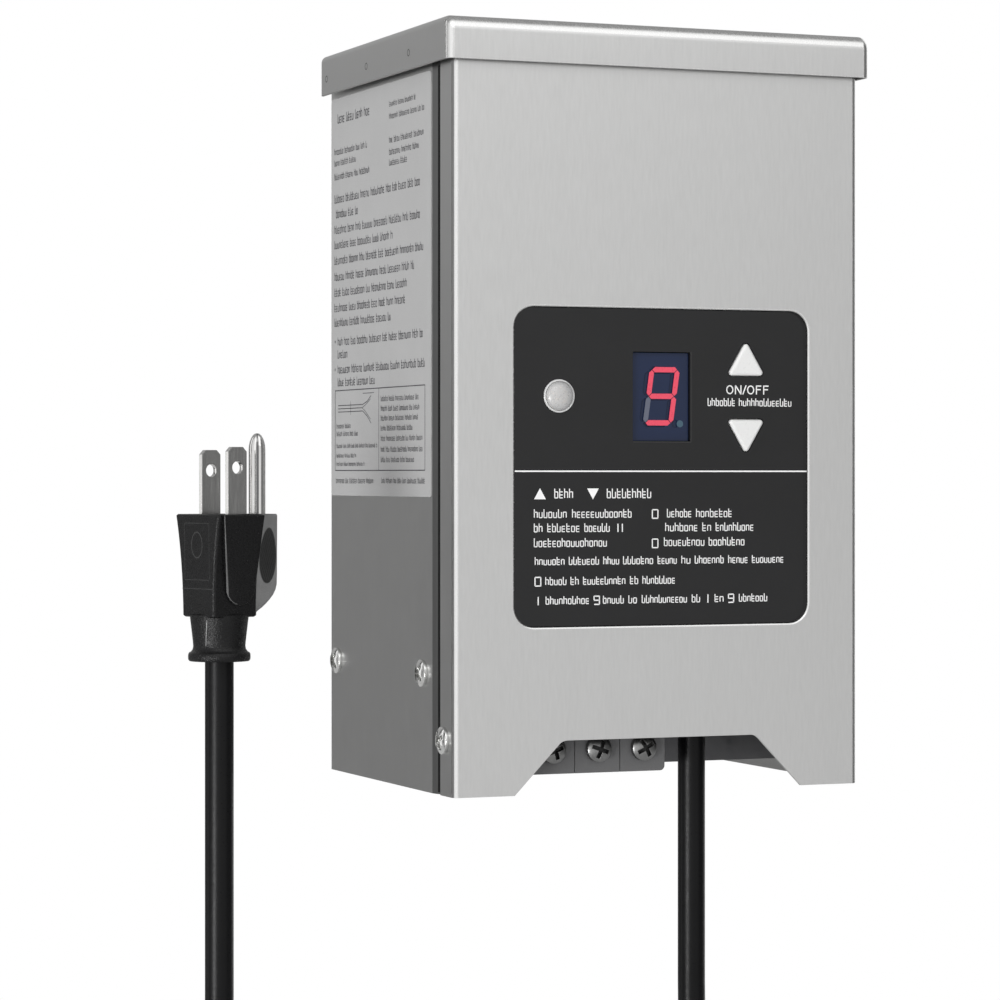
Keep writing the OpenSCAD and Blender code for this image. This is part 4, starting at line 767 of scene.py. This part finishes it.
def add_plug_block():
    """The moulded block, hollow along its sides, with the nose that is gripped."""
    shape = bmesh.new()
    # Heights up the block, each with how far it is drawn in
    levels = [(0, 0.45), (0.45, 0), (4, 0), (8, 0), (12, 0), (16, 0), (19, 0), (22, 0), (25, 0),
              (27, 0), (28.5, 0), (28.9, 0.4)]
    rings = []
    for z, inset in levels:
        half, share = plug_half(z) - inset, z / PLUG_H
        back, side = 7.41 + 0.39 * share - inset, 7.7 + 0.23 * share - inset
        rings.append([on_plug(*p, z) for p in soft_outline(
            [(-back, -half), (side, -half), (side, half), (-back, half)], 0.9)])
    loft(shape, rings)
    # Heights up the nose, each with the share of its full reach
    reaches = [(0.9, 0.02), (1.6, 0.14), (2.6, 0.36), (3.5, 0.51), (4.7, 0.68), (6, 0.83),
               (7.5, 0.94), (9, 0.99), (12, 1), (18, 1), (26, 1), (28.5, 1), (28.9, 0.95)]
    rings = []
    for z, share in reaches:
        half, reach = plug_half(z) - 0.35, PLUG_SIDE + (PLUG_NOSE - PLUG_SIDE) * share
        tip = NOSE_HALF + (half - NOSE_HALF) * (1 - share) * 0.4
        rings.append([on_plug(*p, z) for p in soft_outline(
            [(0, -half), (PLUG_SIDE - 0.6, -half), (reach, -tip), (reach, tip),
             (PLUG_SIDE - 0.6, half), (0, half)], 0.8)])
    loft(shape, rings)
    sharpen(shape, 40)
    bmesh.ops.recalc_face_normals(shape, faces=shape.faces)
    # The nose's slanted faces take the second finish, a lighter grey that is painted light falling
    # from the right.
    give_second(shape, lambda way: way.x > 0.25 and abs(way.y) > 0.2 and way.z < 0.9)
    piece = add_piece("plug_block", shape, "case", "cord_jacket", "plug_grain", "plug_nose_painted_light",
                      nodes=("plug_body",))
    even_normals(piece)


def add_plug_tongues():
    """The raised tongue on each wide side: flat at its top, round at its foot."""
    shape = bmesh.new()
    for side in (-1, 1):
        corners = []
        for z, y in ((28.7, 11.5), (8.4, 8.55)):
            for depth in (y, y - 4):
                if z > 20:
                    spots = [(-6.4, z), (7.5, z)]
                else:
                    spots = [(1.35 + 5 * math.cos(math.radians(a)),
                              z + 5 * math.sin(math.radians(a))) for a in range(180, 361, 15)]
                corners += [shape.verts.new(on_plug(x, side * depth, h)) for x, h in spots]
        bmesh.ops.convex_hull(shape, input=corners, use_existing_faces=False)
    bmesh.ops.dissolve_limit(shape, angle_limit=math.radians(2), verts=shape.verts,
                             edges=shape.edges)
    bevel(shape, sharp_edges(shape, 40), 1.15, 5)
    sharpen(shape, 40)
    # The tongues' left rounded edges take the second finish: a painted highlight.
    give_second(shape, lambda way: 0.2 < abs(way.y) < 0.97 and way.x < -0.1)
    piece = add_piece("plug_tongues", shape, "case", "cord_jacket", "plug_grain", "plug_tongue_painted_highlight",
                      nodes=("plug_body",))
    even_normals(piece)


def add_plug_neck():
    """The neck under the block, with its collar round the cord."""
    shape = bmesh.new()
    neck = [(0, 0.6), (8.3, 0.6), (8.2, -0.6), (7.85, -3.5), (7.5, -6.5), (7.35, -8.2),
            (7.5, -9.1), (8.0, -9.8), (8.5, -10.05), (8.75, -10.5), (8.8, -11.2),
            (8.75, -12.0), (8.4, -12.45), (4.1, -12.5)]
    turned_part(shape, neck, on_plug(0, 0, 0), (0, 0, 1), 48)
    sharpen(shape, 40)
    add_piece("plug_neck", shape, "case", "cord_jacket", "plug_grain", nodes=("plug_body",))


# The middle of the hole through each blade in the plug's frame, and its growth
HOLE_X, HOLE_Z, HOLE_GROWS = 1.2, 42, 1.16


def add_blades():
    """The flat blades, with the width of hole and the heights that the photograph shows."""
    shape = node_shape("plug_blades")
    back = PLUG.inverted()
    for vert in shape.verts:
        x, y, z = (back @ vert.co) / MM
        far = y > 0
        if math.hypot(x - HOLE_X, z - HOLE_Z) < 1.7:
            x = HOLE_X + (x - HOLE_X) * HOLE_GROWS
            z = HOLE_Z + (z - HOLE_Z) * HOLE_GROWS - 0.8 * far
        elif z > 40:
            z += -0.2 if far else 0.6
        vert.co = on_plug(x, y, z)
    bevel(shape, sharp_edges(shape, SHARP), 0.2, 3)
    sharpen(shape, 50)
    piece = add_piece("blades_rounded", shape, "case", "blade_brass", nodes=("plug_blades",))
    even_normals(piece)


add_cap()
add_lens()
add_pin()
for leads_node in LEADS:
    add_leads(leads_node)
add_plug_block()
add_plug_tongues()
add_plug_neck()
add_blades()


def seven_bars(left, right, foot, mid, top):
    """The two ends of each bar of a numeral, a to g."""
    return dict(
        a=((left, top), (right, top)), b=((right, top), (right, mid)),
        c=((right, mid), (right, foot)), d=((left, foot), (right, foot)),
        e=((left, mid), (left, foot)), f=((left, top), (left, mid)),
        g=((left, mid), (right, mid)),
    )


# Prints: thin shapes a hair above their face. Words are drawn as greeked strokes
# that can't be read; only plain numerals, arrows and ON/OFF are real signs.
class Print:
    """Thin marks, drawn in mm on a face that to_space puts in place."""

    def __init__(self, to_space):
        self.shape = bmesh.new()
        self.to_space = to_space

    def face(self, points):
        corners = [self.shape.verts.new(self.to_space(u, v)) for u, v in points]
        self.shape.faces.new(corners)

    def disc(self, u, v, radius, step):
        turns = (math.radians(a) for a in range(0, 360, step))
        self.face([(u + radius * math.cos(a), v + radius * math.sin(a)) for a in turns])

    def bar(self, start, end, width):
        (u0, v0), (u1, v1) = start, end
        long = math.hypot(u1 - u0, v1 - v0)
        du, dv = (u1 - u0) / long * width / 2, (v1 - v0) / long * width / 2
        self.face([(u0 - dv, v0 + du), (u0 + dv, v0 - du), (u1 + dv, v1 - du),
                   (u1 - dv, v1 + du)])

    def chain(self, points, width):
        for a, b in zip(points, points[1:]):
            self.bar(a, b, width)

    def frame(self, low, high, width):
        (u0, v0), (u1, v1) = low, high
        self.chain([(u0, v0), (u1, v0), (u1, v1), (u0, v1), (u0, v0)], width)

    def word(self, u0, u1, v, height, weight, dice, tall=0.3):
        """Upright strokes joined at the top, the middle or the foot by turns."""
        cells = max(1, round(abs(u1 - u0) / (height * 0.52)))
        step = (u1 - u0) / cells
        low, high = v - height * 0.36, v + height * 0.2
        for k in range(cells):
            u = u0 + step * (k + 0.18)
            over = u + step * 0.62
            top = v + height * 0.5 if k == 0 or dice.random() < tall else high
            self.bar((u, low), (u, top), weight)
            kind = dice.randrange(4)
            if kind != 3:
                self.bar((over, low), (over, high), weight)
            levels = ((high,), (low,), (low, high), (low, (low + high) / 2, high))[kind]
            for level in levels:
                self.bar((u, level), (over, level), weight)

    def line(self, u0, u1, v, height, weight, dice):
        """A row of words of chance lengths from u0 to u1."""
        way = 1 if u1 > u0 else -1
        u = u0
        while abs(u1 - u) > height * 0.5:
            size = min(dice.uniform(1.2, 4.6) * height, abs(u1 - u))
            self.word(u, u + way * size, v, height, weight, dice)
            u += way * (size + height * 0.42)

    def numeral(self, u, v, width, height, lit):
        """A plain seven-bar numeral: lit names its bars, a to g."""
        bars = seven_bars(u, u + width, v - height / 2, v, v + height / 2)
        for name in lit:
            self.bar(*bars[name], NUMERAL_PEN)

    def round_ring(self, u, v, half_w, half_h, width, steps=20):
        points = [(u + half_w * math.cos(2 * math.pi * k / steps),
                   v + half_h * math.sin(2 * math.pi * k / steps)) for k in range(steps + 1)]
        self.chain(points, width)

    def done(self, name, slot, finish):
        bmesh.ops.recalc_face_normals(self.shape, faces=self.shape.faces)
        return add_piece(name, self.shape, "case", slot, finish)


def on_grip(u, v, lift):
    """A place lift mm off the nose's slanted side, u mm from its middle line, v mm up."""
    half = plug_half(v) - 0.35
    start, end = Vector((PLUG_SIDE - 0.6, -half)), Vector((PLUG_NOSE, -NOSE_HALF))
    run = (end - start).normalized()
    spot = (start + end) / 2 + run * u + Vector((run.y, -run.x)) * lift
    return on_plug(spot.x, spot.y, v)


# The knurled oval on the grip: half its width and height, and its middle's height
GRIP_W, GRIP_H, GRIP_Z = 3.9, 7.7, 17.2
# The knurl's lines: their distance, slant, gap to the oval's edge and shortest length
KNURL_STEP = 0.95
KNURL_LEAN = 0.5
KNURL_EDGE = 0.3
KNURL_LEAST = 0.6


def grip_spot(share, degrees):
    """A place in the oval, at a share of the way from its middle to its edge."""
    turn = math.radians(degrees)
    return GRIP_W * share * math.cos(turn), GRIP_Z + GRIP_H * share * math.sin(turn)


def knurl_line(start, lean):
    """The two ends of a slanted line where it crosses the oval, or none if it's short."""
    heights = [t / 20 for t in range(-220, 221)]
    inside = [t for t in heights
              if ((start + lean * t * KNURL_LEAN) / (GRIP_W - KNURL_EDGE)) ** 2
              + (t / (GRIP_H - KNURL_EDGE)) ** 2 < 1]
    if not inside or inside[-1] - inside[0] <= KNURL_LEAST:
        return []
    return [(start + lean * t * KNURL_LEAN, GRIP_Z + t) for t in (inside[0], inside[-1])]


def add_grip_marks():
    """The oval on the grip, painted dark as the shade in its recess, with its crossed knurl and
    its rim.
    """
    oval = Print(lambda u, v: on_grip(u, v, 0.04))
    for a in range(0, 360, 15):
        b = a + 15
        oval.face([(0, GRIP_Z), grip_spot(0.5, a), grip_spot(0.5, b)])
        oval.face([grip_spot(0.5, a), grip_spot(1, a), grip_spot(1, b), grip_spot(0.5, b)])
    oval.done("grip_oval", "cord_jacket", "recess_dark")
    knurl = Print(lambda u, v: on_grip(u, v, 0.1))
    for lean in (-1, 1):
        for k in range(-14, 15):
            ends = knurl_line(k * KNURL_STEP, lean)
            if ends:
                knurl.bar(*ends, 0.2)
    knurl.done("grip_knurl", "cord_jacket", "plug_line")
    rim = Print(lambda u, v: on_grip(u, v, 0.06))
    rim.round_ring(0, GRIP_Z, GRIP_W + 0.1, GRIP_H + 0.1, 0.22, 36)
    rim.done("grip_rim", "cord_jacket", "plug_line")


def add_moulding_lines():
    """Fine lines on the plug's plain side, along its corner and on its neck; the corner's and the
    neck's lines are painted highlights, and the neck's hole is a disc of painted shade.
    """
    line = Print(lambda u, v: on_plug(-7.45 - 0.39 * v / PLUG_H, u, v))
    line.bar((7.4, 8), (-7.6, 8), 0.16)
    line.frame((5.9, 10.5), (-5.9, 26.4), 0.14)
    line.round_ring(0, 20.3, 2.6, 3.6, 0.3, 28)
    line.done("plug_side_lines", "cord_jacket", "plug_line")
    corner = Print(lambda u, v: on_plug(-7.17 - 0.39 * v / PLUG_H + u,
                                        0.24 + u - plug_half(v), v))
    corner.chain([(0, z) for z in (0.6, 5, 10, 14, 18, 21, 24, 26.5, 28.6)], 0.2)
    corner.done("plug_corner_line", "cord_jacket", "plug_edge_painted_highlight")

    def on_neck(u, v):
        radius = 8.32 + 0.118 * v
        return on_plug(radius * math.sin(u / 7.9), -radius * math.cos(u / 7.9), v)

    neck = Print(on_neck)
    neck.chain([(-8.3, -0.7), (-8.7, -4), (-9.1, -8)], 0.22)
    neck.done("plug_neck_line", "cord_jacket", "plug_edge_painted_highlight")
    # The neck's hole, drawn as a disc of painted shade.
    hole = Print(on_neck)
    hole.disc(-8.1, -7, 0.55, 24)
    hole.done("plug_neck_hole", "cord_jacket", "recess_dark")


# The panel's front, the label's face and how far their ink stands off them
PANEL_Y = -106.7
LABEL_X = -65.15
PRINT_RISE = 0.03
# The lit bars of the plain numerals, and the pen that draws them
NINE, ONE, NOUGHT = "abcdfg", "bc", "abcdef"
NUMERAL_PEN = 0.34


def add_panel_print():
    """Greeked words and plain signs on the panel's front."""
    dice = random.Random(7)
    ink = Print(lambda u, v: at(u, PANEL_Y - PRINT_RISE, v))
    ink.bar((-45.9, 93.5), (48.2, 93.5), 0.42)
    # Arrows that name the two buttons, each with its greeked word
    ink.face([(-39.9, 85.4), (-36.2, 85.4), (-38.05, 88.6)])
    ink.face([(-23.2, 88.5), (-21.35, 85.3), (-19.5, 88.5)])
    ink.word(-33.7, -27.5, 86.9, 3.1, 0.31, dice, 1)
    ink.word(-17.1, -2.6, 86.9, 3.1, 0.31, dice, 1)
    # Each row's height up the box, its size, and where each greeked word starts and ends
    rows = [
        (81.1, 2.8, [(-40.1, -29.5), (-28.1, -8.9), (2.2, 10.4), (11.6, 23.6)]),
        (77.0, 2.8, [(-40.1, -37.1), (-35.9, -25.4), (-24.2, -15.9), (1.6, 12.4), (13.6, 16.8),
                     (18.0, 30.7)]),
        (72.7, 2.8, [(-40.1, -16.8), (1.2, 14.6), (15.7, 27.7)]),
        (67.4, 2.6, [(-39.8, -30.2), (-29.1, -19.3), (-18.2, -12.9), (-11.9, -2.0), (-0.8, 5.6),
                     (6.8, 10.1), (11.2, 20.9), (22.1, 28.8), (29.9, 40.6)]),
        (61.6, 2.6, [(-36.5, -29.6), (-28.6, -25.7), (-24.6, -10.9), (-9.7, -6.8), (-5.7, 5.1)]),
        (56.0, 2.6, [(-36.4, -22.4), (-18.3, -11.4), (-10.2, -7.2), (-5.9, 8.9), (10.2, 13.2),
                     (17.6, 20.9), (25.6, 35.2)]),
        (113.8, 2.6, [(15.4, 24.6), (25.6, 43.2)]),
    ]
    for v, height, words in rows:
        for u0, u1 in words:
            ink.word(u0, u1, v, height, 0.28, dice, 0.35)
    for u, v in ((-14.1, 77.0), (-12.7, 77.0), (-39.3, 56.0), (14.9, 56.0)):
        ink.numeral(u, v, 0.7, 2.4, ONE)
    for u, v in ((-21.0, 56.0), (22.3, 56.0)):
        ink.numeral(u, v, 1.7, 2.4, NINE)
    for u, v in ((-2.4, 81.0), (-2.4, 72.4), (-39.6, 61.6)):
        ink.numeral(u, v, 1.8, 2.5, NOUGHT)
    # ON/OFF between the two buttons
    v, tall, pen = 117.6, 2.7, 0.36
    low, high = v - tall / 2, v + tall / 2
    ink.round_ring(22.75, v, 1.0, tall / 2 - pen / 2, pen)
    ink.chain([(24.6, low), (24.6, high), (26.4, low), (26.4, high)], pen)
    ink.bar((27.0, low), (28.1, high), pen)
    ink.round_ring(29.6, v, 1.0, tall / 2 - pen / 2, pen)
    for u in (31.5, 33.9):
        ink.bar((u, low), (u, high), pen)
        ink.bar((u, high - pen / 2), (u + 1.6, high - pen / 2), pen)
        ink.bar((u, v + 0.1), (u + 1.4, v + 0.1), pen)
    ink.done("panel_print", "panel_plastic", "print_white")


# Each row of the label: where it starts and ends, its height up the box and its size.
# LABEL_PEN is its strokes' share of that size.
LABEL_PEN = 0.115
LABEL_ROWS = [
    (-7.8, -37.3, 203.4, 3.3), (-54.3, -76.9, 203.6, 1.9), (-54.3, -84.1, 199.9, 2.0),
    (-4.8, -35.0, 193.3, 2.3), (-4.8, -26.6, 189.8, 2.2), (-4.8, -37.3, 185.5, 2.3),
    (-54.3, -85.1, 192.8, 2.2), (-54.3, -79.5, 189.2, 2.2), (-54.3, -71.1, 186.0, 2.2),
    (-4.8, -82.6, 178.5, 2.9), (-6.3, -26.6, 173.8, 2.9), (-4.8, -82.8, 168.9, 2.9),
    (-4.8, -57.6, 164.2, 2.9), (-4.8, -84.6, 159.3, 2.9), (-4.8, -75.6, 154.2, 2.9),
    (-4.8, -69.6, 149.3, 2.9), (-4.8, -68.2, 144.5, 2.9), (-4.8, -55.7, 139.9, 2.9),
    (-7.8, -82.8, 133.9, 2.9), (-7.8, -17.1, 129.9, 2.9), (-7.8, -85.9, 125.2, 2.9),
    (-7.8, -42.0, 121.2, 2.9), (-6.9, -20.0, 107.6, 1.7), (-6.9, -26.6, 105.2, 1.7),
    (-6.9, -44.0, 101.4, 1.5), (-6.9, -25.1, 98.4, 1.5), (-6.9, -32.8, 95.8, 1.5),
    (-47.0, -79.5, 115.4, 1.9), (-47.0, -81.5, 112.4, 1.9), (-47.0, -79.0, 109.5, 1.9),
    (-47.0, -74.3, 106.5, 1.9), (-47.0, -82.6, 103.4, 1.9), (-47.0, -82.6, 100.1, 1.9),
    (-47.0, -75.6, 97.0, 1.9), (-6.3, -40.6, 90.6, 1.9), (-47.5, -84.6, 90.7, 1.9),
]


def add_label_print():
    """Greeked rows, a framed table and a little drawing on the left side's label."""
    dice = random.Random(3)
    ink = Print(lambda u, v: at(LABEL_X - PRINT_RISE, u, v))
    for u0, u1, v, height in LABEL_ROWS:
        ink.line(u0, u1, v, height, height * LABEL_PEN, dice)
    for v in (134, 125.3):
        ink.round_ring(-5.6, v, 0.25, 0.3, 0.3, 8)
    ink.frame((-5.7, 93.8), (-84.6, 118.7), 0.32)
    ink.bar((-45.3, 93.8), (-45.3, 118.7), 0.25)
    # The little drawing of two wires that part
    ink.chain([(-8.4, 114.0), (-31, 114.0), (-35, 114.9), (-38.5, 116.6)], 0.28)
    ink.chain([(-8.4, 112.0), (-31, 112.0), (-35, 110.4), (-38.5, 108.2)], 0.28)
    ink.chain([(-8.4, 113.0), (-30.5, 113.0), (-34, 114.0), (-38, 115.6)], 0.2)
    ink.chain([(-8.4, 113.0), (-30.5, 113.0), (-34, 111.6), (-38, 109.4)], 0.2)
    ink.bar((-20, 111.0), (-20, 115.2), 0.2)
    ink.chain([(-31, 117.4), (-41, 117.4)], 0.2)
    ink.done("label_print", "label_film", "print_dark")


# The spot welds' rings: a hair outside the cap's sides, and their distance along Y
WELD_X = 67.84
WELD_PITCH = 36.5


def add_case_marks():
    """Spot welds on the cap, a strip of painted shade in the gap beside the cover, and a painted
    highlight along the display's edge.
    """
    for side, name in ((-1, "left"), (1, "right")):
        weld = Print(lambda u, v, side=side: at(side * WELD_X, u, v))
        for k in range(3):
            weld.round_ring(-5 - WELD_PITCH * k, 216.25, 0.95, 0.95, 0.32, 16)
        weld.done("welds_" + name, "case_steel", "weld_dark")
        # A strip of painted shade along the gap beside the cover.
        fold = Print(lambda u, v, side=side: at(side * (65.03 + (90.3 + u) * 0.2), u, v))
        fold.bar((-94.1, 0.6), (-94.1, 211), 1.6)
        fold.done("fold_painted_shade_" + name, "case_steel", "fold_gap")
    # A lighter line along the display's foot and right edge: a painted highlight.
    edge = Print(lambda u, v: at(u, PANEL_Y - 0.02, v))
    edge.chain([(-8.5, 102.1), (10.1, 102.1), (10.1, 128.5)], 0.22)
    edge.done("display_edge_painted_highlight", "display_plastic", "plug_line")


# The display's digit: its front, its middle, half its width and height, its lean, half
# a bar's width, and the gap at a bar's pointed end
DIGIT_Y = -105.63
DIGIT_MID = (1.02, 115.5)
DIGIT_HALF = (4.1, 7.8)
DIGIT_LEAN = 0.14
BAR_HALF = 0.78
BAR_GAP = 0.12


def add_digit():
    """A leaning seven-bar numeral with pointed bars, and the point beside it."""
    half = BAR_HALF
    ends = seven_bars(-DIGIT_HALF[0], DIGIT_HALF[0], -DIGIT_HALF[1], 0, DIGIT_HALF[1])
    pieces = (("digit_lit", NINE, "lit_segments", "lit_segment"),
              ("digit_unlit", "e", "unlit_segments", "dark_segment"))
    for name, bars, node, finish in pieces:
        digit = Print(lambda u, v: at(DIGIT_MID[0] + u + DIGIT_LEAN * v, DIGIT_Y,
                                      DIGIT_MID[1] + v))
        for (u0, v0), (u1, v1) in (ends[bar] for bar in bars):
            long = math.hypot(u1 - u0, v1 - v0)
            du, dv = (u1 - u0) / long, (v1 - v0) / long
            near, far = BAR_GAP, long - BAR_GAP
            outline = ((near, 0), (near + half, half), (far - half, half), (far, 0),
                       (far - half, -half), (near + half, -half))
            digit.face([(u0 + du * a - dv * b, v0 + dv * a + du * b) for a, b in outline])
        piece = digit.done(name, SLOT_OF[node], finish)
        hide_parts(node)
    point = Print(lambda u, v: at(u, DIGIT_Y, v))
    point.disc(7.0, 107.45, 1.05, 15)
    point.done("display_point", "dark_segment", "dot_teal")


add_panel_print()
add_label_print()
add_case_marks()
add_digit()
add_grip_marks()
add_moulding_lines()


# Studio: a plain floor under the coil, a soft key in front, a low strip on the left,
# cards for brushed metal to mirror, and a plain world that is white to the camera, to
# metal and to glass. Its places are in metres.
WORLD_FILL = 0.7
FLOOR_MID = (0, -0.05, -0.3885)
FLOOR_R = 0.7
FLOOR_LIFT = 0.35
# Each card's two ends, in degrees from the front towards +X, and its light low down
# and high up. White shows between the cards.
CARDS = [
    (-180, -140, 0.28, 0.5), (-140, -126, 0.03, 0.03), (-126, -112, 1.6, 1.6),
    (-112, -92, 0.33, 0.5), (-60, -12, 1.35, 1.35), (37, 104, 0.22, 0.22),
    (104, 136, 1.3, 1.3), (136, 180, 0.33, 0.5),
]
CARD_FAR = 2.6
CARD_SPAN = (-1.6, 2.2)
CARD_RISE = (-0.1, 0.4)
# Level and leaning cards: corners and light
FLAT_CARDS = {
    "card_roof": (((-2.6, -0.5, 2.2), (2.6, -0.5, 2.2), (2.6, 2.6, 2.2), (-2.6, 2.6, 2.2)),
                  0.42),
    "card_above": (((-1.9, -2.6, 0.62), (1.9, -2.6, 0.62), (1.6, -0.95, 2.2),
                    (-1.6, -0.95, 2.2)), 1.6),
    "card_below": (((-1.9, -2.5, -0.85), (1.9, -2.5, -0.85), (1.6, -1.4, -1.5),
                    (-1.6, -1.4, -1.5)), 1.3),
}
MATTE_TO_STRIP = ("housing_rounded", "cap_folded", "front_cover_rounded",
                  "control_panel_rounded", "display_body_rounded", "side_label")


def add_lamp(name, place, aim, width, height, power):
    data = bpy.data.lights.new(name, "AREA")
    data.shape = "RECTANGLE"
    data.size = width
    data.size_y = height
    data.energy = power
    lamp = placed(name, data)
    lamp.location = place
    lamp.rotation_euler = (Vector(aim) - Vector(place)).to_track_quat("-Z", "Y").to_euler()
    return lamp


def add_strip():
    """A low strip on the left, whose gloss shows on small and round pieces alone, so
    that it doesn't flood the flat sheets in a view from the right. Two lamps in one
    place would hide each other, so the other stands 2 cm behind."""
    same = ((-0.1, -0.09, -0.25), 0.75, 0.5, 27)
    add_lamp("left_strip", (-1.8, -1.135, -0.585), *same).visible_glossy = False
    gloss = add_lamp("left_strip_gloss", (-1.78, -1.12, -0.58), *same)
    gloss.visible_diffuse = False
    shown = bpy.data.collections.new("shows_left_strip")
    for piece in bpy.context.collection.objects:
        if piece.type in ("MESH", "CURVE") and piece.name not in MATTE_TO_STRIP:
            shown.objects.link(piece)
    gloss.light_linking.receiver_collection = shown


def add_world():
    world = bpy.data.worlds.new("studio")
    bpy.context.scene.world = world
    world.use_nodes = True
    tree = world.node_tree
    fill, white = tree.nodes["Background"], tree.nodes.new("ShaderNodeBackground")
    for shader, strength in ((fill, WORLD_FILL), (white, 1)):
        shader.inputs["Color"].default_value = (1, 1, 1, 1)
        shader.inputs["Strength"].default_value = strength
    path = tree.nodes.new("ShaderNodeLightPath")
    seen = path.outputs["Is Camera Ray"]
    for kind in ("Is Glossy Ray", "Is Transmission Ray"):
        seen = reckoned(tree, "MAXIMUM", seen, path.outputs[kind])
    mix = tree.nodes.new("ShaderNodeMixShader")
    link(tree, seen, mix.inputs[0])
    link(tree, fill.outputs[0], mix.inputs[1])
    link(tree, white.outputs[0], mix.inputs[2])
    link(tree, mix.outputs[0], tree.nodes["World Output"].inputs["Surface"])


def add_card(name, quads, low, high):
    """A card seen only in gloss, with its light graded from low to high."""
    shape = bmesh.new()
    for quad in quads:
        shape.faces.new([shape.verts.new(corner) for corner in quad])
    mesh = mesh_of(name, shape)
    material, tree, bsdf = new_finish(name)
    bsdf.inputs["Base Color"].default_value = (0, 0, 0, 1)
    bsdf.inputs["Specular IOR Level"].default_value = 0
    bsdf.inputs["Emission Color"].default_value = (1, 1, 1, 1)
    parts = tree.nodes.new("ShaderNodeSeparateXYZ")
    link(tree, grain_vector(tree, (1, 1, 1)), parts.inputs[0])
    link(tree, ranged(tree, parts.outputs["Z"], low, high, *CARD_RISE),
         bsdf.inputs["Emission Strength"])
    mesh.materials.append(material)
    card = placed(name, mesh)
    card.visible_camera = False
    card.visible_diffuse = False
    card.visible_shadow = False
    card.visible_transmission = False


def add_shell():
    """The cards round the object, over it and under it."""
    foot, top = CARD_SPAN
    for number, (start, end, low, high) in enumerate(CARDS):
        steps = max(2, round((end - start) / 6))
        turns = [math.radians(start + (end - start) * i / steps) for i in range(steps + 1)]
        quads = []
        for one, two in zip(turns, turns[1:]):
            x0, y0, x1, y1 = (CARD_FAR * f for f in (math.sin(one), -math.cos(one),
                                                     math.sin(two), -math.cos(two)))
            quads.append([(x0, y0, foot), (x1, y1, foot), (x1, y1, top), (x0, y0, top)])
        add_card(f"card_{number}", quads, low, high)
    for name, (corners, level) in FLAT_CARDS.items():
        add_card(name, [corners], level, level)


def add_floor():
    """Under the object only, so that the camera sees it from other sides alone."""
    shape = bmesh.new()
    bmesh.ops.create_circle(shape, cap_ends=True, segments=96, radius=FLOOR_R,
                            matrix=Matrix.Translation(FLOOR_MID))
    mesh = mesh_of("floor", shape)
    material, tree, bsdf = new_finish("floor_white")
    bsdf.inputs["Base Color"].default_value = (0.8, 0.8, 0.8, 1)
    bsdf.inputs["Roughness"].default_value = 0.8
    bsdf.inputs["Emission Color"].default_value = (1, 1, 1, 1)
    path = tree.nodes.new("ShaderNodeLightPath")
    link(tree, reckoned(tree, "MULTIPLY", path.outputs["Is Camera Ray"], FLOOR_LIFT),
         bsdf.inputs["Emission Strength"])
    mesh.materials.append(material)
    placed("floor", mesh)


add_world()
add_shell()
add_floor()
add_strip()
add_lamp("key", (-0.3, -1.7, 1.5), (0, -0.05, -0.08), 1.2, 0.7, 12)

bpy.context.scene.view_settings.view_transform = "Standard"
